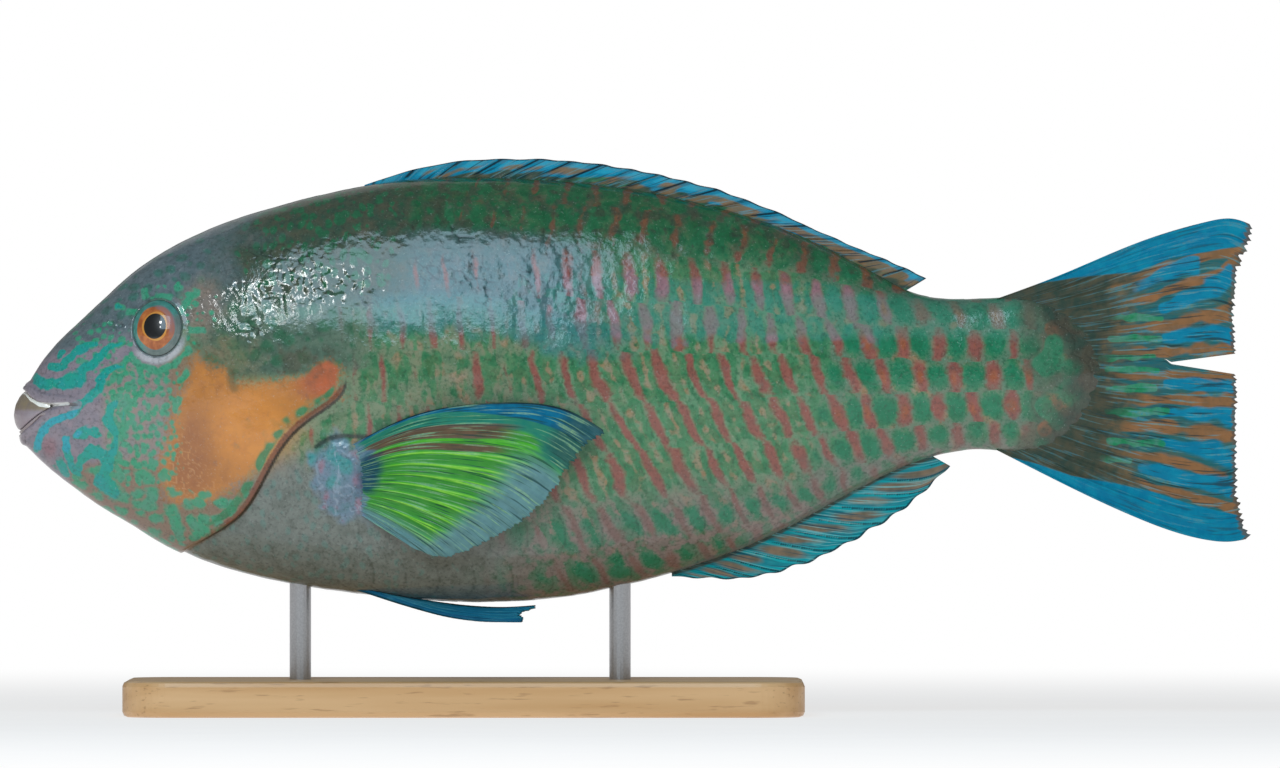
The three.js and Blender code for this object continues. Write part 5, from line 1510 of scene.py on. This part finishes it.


# Each fin's finish: its name, its ground's pair of colours, the colours laid over it as for the skin, and the
# pairs of its dark lines and of its pale lines, which are painted glints
FIN_COLOURS = {
    "back": ("folded_fin_membrane", ("#0086a6", "#047e9c"), [
        ("bright", ("#1a9cba", "#30a6c0"), (0.2, 0.9), "streaks", 0.5, 0.75),
        ("low", ("#2a4a40", "#4f5646"), (0.2, 0.8), "streaks", 0.4, 1),
        ("tan", ("#8c6a4a", "#75654a"), (-0.1, 0.4), "streaks", 0.4, 0.95),
        ("green", ("#256648", "#3a7a58"), (0.0, 0.5), "streaks", 0.4, 0.9),
        ("outline", ("#0c2a36", "#14242c"), (0.2, 0.7), "fine", 0.3, 0.9),
    ], ("#173844", "#1c3038"), ("#4c9cb0", "#6f8c88")),
    "anal": ("anal_fin_membrane", ("#06949e", "#1aa4aa"), [
        ("web", ("#14727e", "#2a8088"), (0.4, 0.9), "streaks", 0.4, 0.7),
        ("fleck", ("#2f98a0", "#4aa5a8"), (0.1, 0.5), "streaks", 0.6, 0.7),
        ("lens", ("#6f5f4c", "#8a7058"), (-0.1, 0.5), "streaks", 0.5, 0.95),
        ("outline", ("#0c3440", "#142c34"), (0.2, 0.7), "fine", 0.3, 0.85),
        # painted shadow of the belly on the fin's root
        ("dusk", ("#44564c", "#504f44"), (0.2, 0.8), "medium", 0.4, 0.9),
    ], ("#0c4c60", "#1a4450"), ("#6cc4c4", "#9cc0bc")),
    "tail": ("tail_fin_membrane", ("#1a6a74", "#4a6458"), [
        ("web", ("#1c6068", "#2a645e"), (0.4, 0.9), "streaks", 0.4, 0.6),
        ("brown", ("#9a6a42", "#85603f"), (-0.3, 0.3), "streaks", 0.7, 0.95),
        ("blue", ("#007a9c", "#0488a6"), (-0.1, 0.4), "streaks", 0.8, 0.95),
        ("lobe", ("#007698", "#0486a2"), (0.2, 0.8), "streaks", 0.4, 1),
        ("shade", ("#465044", "#7a6244"), (0.1, 0.9), "streaks", 0.9, 0.9),
        ("dark_ray", ("#3c4036", "#4c4a3a"), (0.1, 0.6), "streaks", 0.5, 0.7),
        ("green", ("#228a5a", "#55907c"), (-0.1, 0.3), "streaks", 0.5, 0.9),
        ("root_dark", ("#34463c", "#4a4c3e"), (0.1, 0.9), "streaks", 0.8, 0.85),
        ("fringe", ("#6a5444", "#5c5f58"), (0.2, 0.8), "streaks", 0.8, 0.85),
    ], ("#143c48", "#2c3028"), ("#3f9cb4", "#7a9a8c")),
    "side": ("side_fin_membrane", ("#48a82c", "#5eb43c"), [
        ("web", ("#3a8a38", "#46903e"), (0.35, 0.9), "streaks", 0.3, 0.9),
        ("crests", ("#7cc83e", "#9cd854"), (0.6, 1.0), "streaks", 0.5, 0.9),
        ("margin", ("#6a9298", "#5e848c"), (0.1, 0.9), "streaks", 0.5, 0.95),
        ("teal", ("#1f7a6c", "#2f7f68"), (0.2, 0.8), "streaks", 0.5, 0.95),
        ("brown", ("#6f5244", "#5f4a3e"), (0.2, 0.8), "streaks", 0.4, 0.95),
        ("edge_blue", ("#005c80", "#086e90"), (0.2, 0.8), "streaks", 0.5, 1),
        ("outline", ("#152a33", "#1c343c"), (0.2, 0.8), "fine", 0.2, 1),
        ("tip_dark", ("#24504e", "#3a5c5a"), (0.1, 0.9), "streaks", 0.6, 0.8),
        ("flesh", ("#7688a0", "#5f8496"), (0.1, 0.9), "medium", 0.6, 0.9),
        # painted shadow over the fin's root
        ("shoulder", ("#16405c", "#1f4c60"), (0.1, 0.8), "medium", 0.5, 0.95),
    ], ("#1c4a34", "#1c3c44"), ("#9cc890", "#7aa890")),
    "belly": ("belly_fin_membrane", ("#0f6484", "#1b7590"), [
        ("ray", ("#22809a", "#2f8c9c"), (0.3, 0.9), "streaks", 0.4, 0.7),
        ("leading", ("#0d5578", "#125f80"), (0.2, 0.8), "fine", 0.3, 0.9),
    ], ("#0c3c54", "#12485c"), ("#3f94a8", "#5ca4b0")),
}


class OBJECT_OT_parrotfish_fins(bpy.types.Operator):
    """Adds the back, anal, tail, side and belly fins"""
    bl_idname = "object.parrotfish_fins"
    bl_label = "Fins"

    def execute(self, context):
        settings = context.scene.parrotfish_fins
        finish = {fin: fin_material(*colours) for fin, colours in FIN_COLOURS.items()}
        fin_piece(
            "dorsal_fin", settings, finish["back"], dorsal_form(), DORSAL["rays"], length=24,
            shape=(1, 0.3, 0.35), forks=(), worn=0.07, ripple=0.3, seed=3)
        fin_piece(
            "anal_fin", settings, finish["anal"], anal_form(), ANAL["rays"], length=24,
            shape=(1, 0.3, 0.35), forks=(0.45,), worn=0.1, ripple=0.2, seed=4)
        fin_piece(
            "tail_fin", settings, finish["tail"], caudal_form(), CAUDAL["rays"], length=62,
            shape=(1.4, 0.3, 0.35), forks=(0.3, 0.6), worn=0.035, ripple=0.12, seed=5)
        for word, side in SIDES.items():
            fin_piece(
                f"pectoral_fin_{word}", settings, finish["side"], pectoral_form(side),
                PECTORAL["rays"], length=66, shape=(0.9, 0.3, 0.35), forks=(0.35, 0.7), worn=0.03,
                ripple=0.15, seed=6)
            fin_piece(
                f"pelvic_fin_{word}", settings, finish["belly"], pelvic_form(side),
                PELVIC["rays"], length=46, shape=(0.8, 0.3, 0.3), forks=(0.5,), worn=0.05,
                ripple=0.25, seed=7)
        return {"FINISHED"}


# Stand

def beech_material(wood):
    """Steamed beech, planed and oiled: pinkish tan with short dark flecks along the grain, satin gloss."""
    material, tree, principled = new_material(
        "oiled_beech", **{"Roughness": 0.42, "IOR": 1.5, "Coat Weight": 0.15, "Coat Roughness": 0.3})
    place = add_node(tree, "ShaderNodeNewGeometry").outputs["Position"]
    patterns = []
    for length, breadth, detail in ((120, 7, 3.0), (9, 0.9, 2.0)):
        stretch = (1 / (length * MM), 1 / (breadth * MM), 1 / (breadth * MM))
        scaled = add_node(
            tree, "ShaderNodeVectorMath", {"operation": "MULTIPLY", 1: stretch}, {0: place}).outputs[0]
        patterns.append(add_node(
            tree, "ShaderNodeTexNoise", {"Scale": 1.0, "Detail": detail}, {"Vector": scaled}).outputs["Fac"])
    grain, flecks = patterns
    colour = two_tone(tree, wood, grain)
    share = add_node(
        tree, "ShaderNodeMapRange", {"From Min": 0.6, "From Max": 0.7, "To Max": 0.45},
        {"Value": flecks}).outputs[0]
    colour = add_node(
        tree, "ShaderNodeMix", {"data_type": "RGBA", 7: linear("#8f6238")}, {0: share, 6: colour}).outputs[2]
    tree.links.new(colour, principled.inputs["Base Color"])
    return material


def steel_material():
    """Stainless bar brushed round its length: grey metal with a soft, drawn-out highlight."""
    material, tree, principled = new_material(
        "brushed_stainless", **{"Metallic": 1.0, "Roughness": 0.32, "Anisotropic": 0.4})
    colour = two_tone(tree, ("#b4b5b8", "#c2c3c5"), noise_output(tree, 0.5, 2))
    tree.links.new(colour, principled.inputs["Base Color"])
    return material


class OBJECT_OT_parrotfish_stand(bpy.types.Operator):
    """Gives the stand's base and rods their finish"""
    bl_idname = "object.parrotfish_stand"
    bl_label = "Stand finish"

    def execute(self, context):
        settings = context.scene.parrotfish_stand
        beech, steel = beech_material((settings.wood_dark, settings.wood_pale)), steel_material()
        for name, finish in (("stand_base", beech), ("stand_rod_front", steel), ("stand_rod_rear", steel)):
            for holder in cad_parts[name].material_slots:
                holder.material = finish
        return {"FINISHED"}


# Stage

def floor_material():
    """Matt pale paper that grows evenly bright with distance, so that no horizon shows."""
    material, tree, principled = new_material("matt_paper_floor", **{"Roughness": 0.9})
    tint = two_tone(tree, ("#e6e6e8", "#ececec"), noise_output(tree, 40, 2))
    tree.links.new(tint, principled.inputs["Base Color"])
    place = add_node(tree, "ShaderNodeNewGeometry").outputs["Position"]
    distance = add_node(tree, "ShaderNodeVectorMath", {"operation": "LENGTH"}, {0: place}).outputs["Value"]
    far = add_node(
        tree, "ShaderNodeMapRange",
        {"interpolation_type": "SMOOTHSTEP", "From Min": 0.2, "From Max": 0.9, "To Min": 0.7},
        {"Value": distance}).outputs[0]
    glow = add_node(tree, "ShaderNodeEmission", {"Strength": 1.0})
    output = next(node for node in tree.nodes if node.type == "OUTPUT_MATERIAL")
    both = add_node(
        tree, "ShaderNodeMixShader", links={0: far, 1: principled.outputs[0], 2: glow.outputs[0]})
    tree.links.new(both.outputs[0], output.inputs["Surface"])
    return material


# Lights: place and size (across, up) in metres, and their power as a share of the front softbox's
SOFTBOXES = {
    "softbox_front": [(-0.095, -0.87, 0.66), (0.54, 0.6), 1],
    "softbox_back": [(0.1, 1.6, 1.5), (2.4, 1.6), 0.8],
    "lamp_high": [(-0.34, -0.8, 0.6), (0.09, 0.09), 0.2],
    "lamp_low": [(-0.36, -0.9, 0.46), (0.06, 0.06), 0.06],
}
# The picture's frame in the fish's own frame, in mm: its width and the place of its middle
PICTURE = {"width": 358.4, "s": 175.1, "z": 0.3}
FLOOR_CORNERS = 96


def add_softbox(name, place, size, power, colour):
    """A rectangular light of size (across, up) in metres that faces the middle of the fish."""
    light = bpy.data.lights.new(name, "AREA")
    light.shape = "RECTANGLE"
    light.size, light.size_y = size
    light.energy = power
    light.color = colour
    lamp = bpy.data.objects.new(name, light)
    bpy.context.scene.collection.objects.link(lamp)
    lamp.location = place
    middle = np.array([0, 0, AXIS_HEIGHT * MM])
    toward = middle - np.array(place)
    lamp.rotation_euler = Vector(toward).to_track_quat("-Z", "Y").to_euler()
    return lamp


class OBJECT_OT_parrotfish_stage(bpy.types.Operator):
    """Adds the floor, the soft studio light and a level camera square to the fish's left side"""
    bl_idname = "object.parrotfish_stage"
    bl_label = "Stage"

    def execute(self, context):
        settings = context.scene.parrotfish_stage
        scene = context.scene
        turn = np.linspace(0, 2 * np.pi, FLOOR_CORNERS, endpoint=False)
        ring = np.column_stack([np.cos(turn), np.sin(turn), turn * 0]) * settings.floor_radius
        mesh = bpy.data.meshes.new("floor")
        mesh.from_pydata(ring.tolist(), [], [range(FLOOR_CORNERS)])
        mesh.materials.append(floor_material())
        floor = bpy.data.objects.new("floor", mesh)
        scene.collection.objects.link(floor)

        world = bpy.data.worlds.new("white_studio")
        world.use_nodes = True
        tree = world.node_tree
        tree.nodes.clear()
        seen = add_node(tree, "ShaderNodeLightPath").outputs["Is Camera Ray"]
        strength = add_node(
            tree, "ShaderNodeMapRange", {"To Min": 0.2, "To Max": 1.0}, {"Value": seen}).outputs[0]
        light = add_node(
            tree, "ShaderNodeBackground", {"Color": (1, 1, 1, 1)}, {"Strength": strength}).outputs[0]
        add_node(tree, "ShaderNodeOutputWorld", links={"Surface": light})
        scene.world = world

        for name, (place, size, share) in SOFTBOXES.items():
            colour = settings.softbox_colour if name == "softbox_front" else (1, 1, 1)
            add_softbox(name, place, size, settings.softbox_power * share, colour)

        lens = bpy.data.cameras.new("camera")
        lens.sensor_width = 36
        lens.lens = lens.sensor_width * settings.camera_distance / (PICTURE["width"] * MM)
        lens.clip_end = 100
        camera = bpy.data.objects.new("camera", lens)
        middle_x, middle_z = PICTURE["s"] - TOTAL_LENGTH / 2, AXIS_HEIGHT + PICTURE["z"]
        camera.location = (middle_x * MM, -settings.camera_distance, middle_z * MM)
        camera.rotation_euler = (math.pi / 2, 0, 0)
        scene.collection.objects.link(camera)
        scene.camera = camera
        scene.view_settings.view_transform = "Standard"
        return {"FINISHED"}


class VIEW3D_PT_parrotfish(bpy.types.Panel):
    bl_label = "Parrotfish"
    bl_idname = "VIEW3D_PT_parrotfish"
    bl_space_type = "VIEW_3D"
    bl_region_type = "UI"
    bl_category = "Parrotfish"

    def draw(self, context):
        for step in STEPS:
            self.layout.operator(step.bl_idname)


STEPS = [
    OBJECT_OT_parrotfish_skin, OBJECT_OT_parrotfish_eyes, OBJECT_OT_parrotfish_beak,
    OBJECT_OT_parrotfish_fins, OBJECT_OT_parrotfish_stand, OBJECT_OT_parrotfish_stage,
]
SETTINGS = {
    "parrotfish_skin": SkinSettings, "parrotfish_fins": FinSettings, "parrotfish_stand": StandSettings,
    "parrotfish_stage": StageSettings,
}


def register():
    for settings in SETTINGS.values():
        bpy.utils.register_class(settings)
    for name, settings in SETTINGS.items():
        setattr(bpy.types.Scene, name, bpy.props.PointerProperty(type=settings))
    for item in [*STEPS, VIEW3D_PT_parrotfish]:
        bpy.utils.register_class(item)


def unregister():
    for item in [VIEW3D_PT_parrotfish, *reversed(STEPS)]:
        bpy.utils.unregister_class(item)
    for name, settings in SETTINGS.items():
        delattr(bpy.types.Scene, name)
        bpy.utils.unregister_class(settings)


def main():
    register()
    for step in STEPS:
        group, operator = step.bl_idname.split(".")
        getattr(getattr(bpy.ops, group), operator)()


if __name__ == "__main__":
    main()
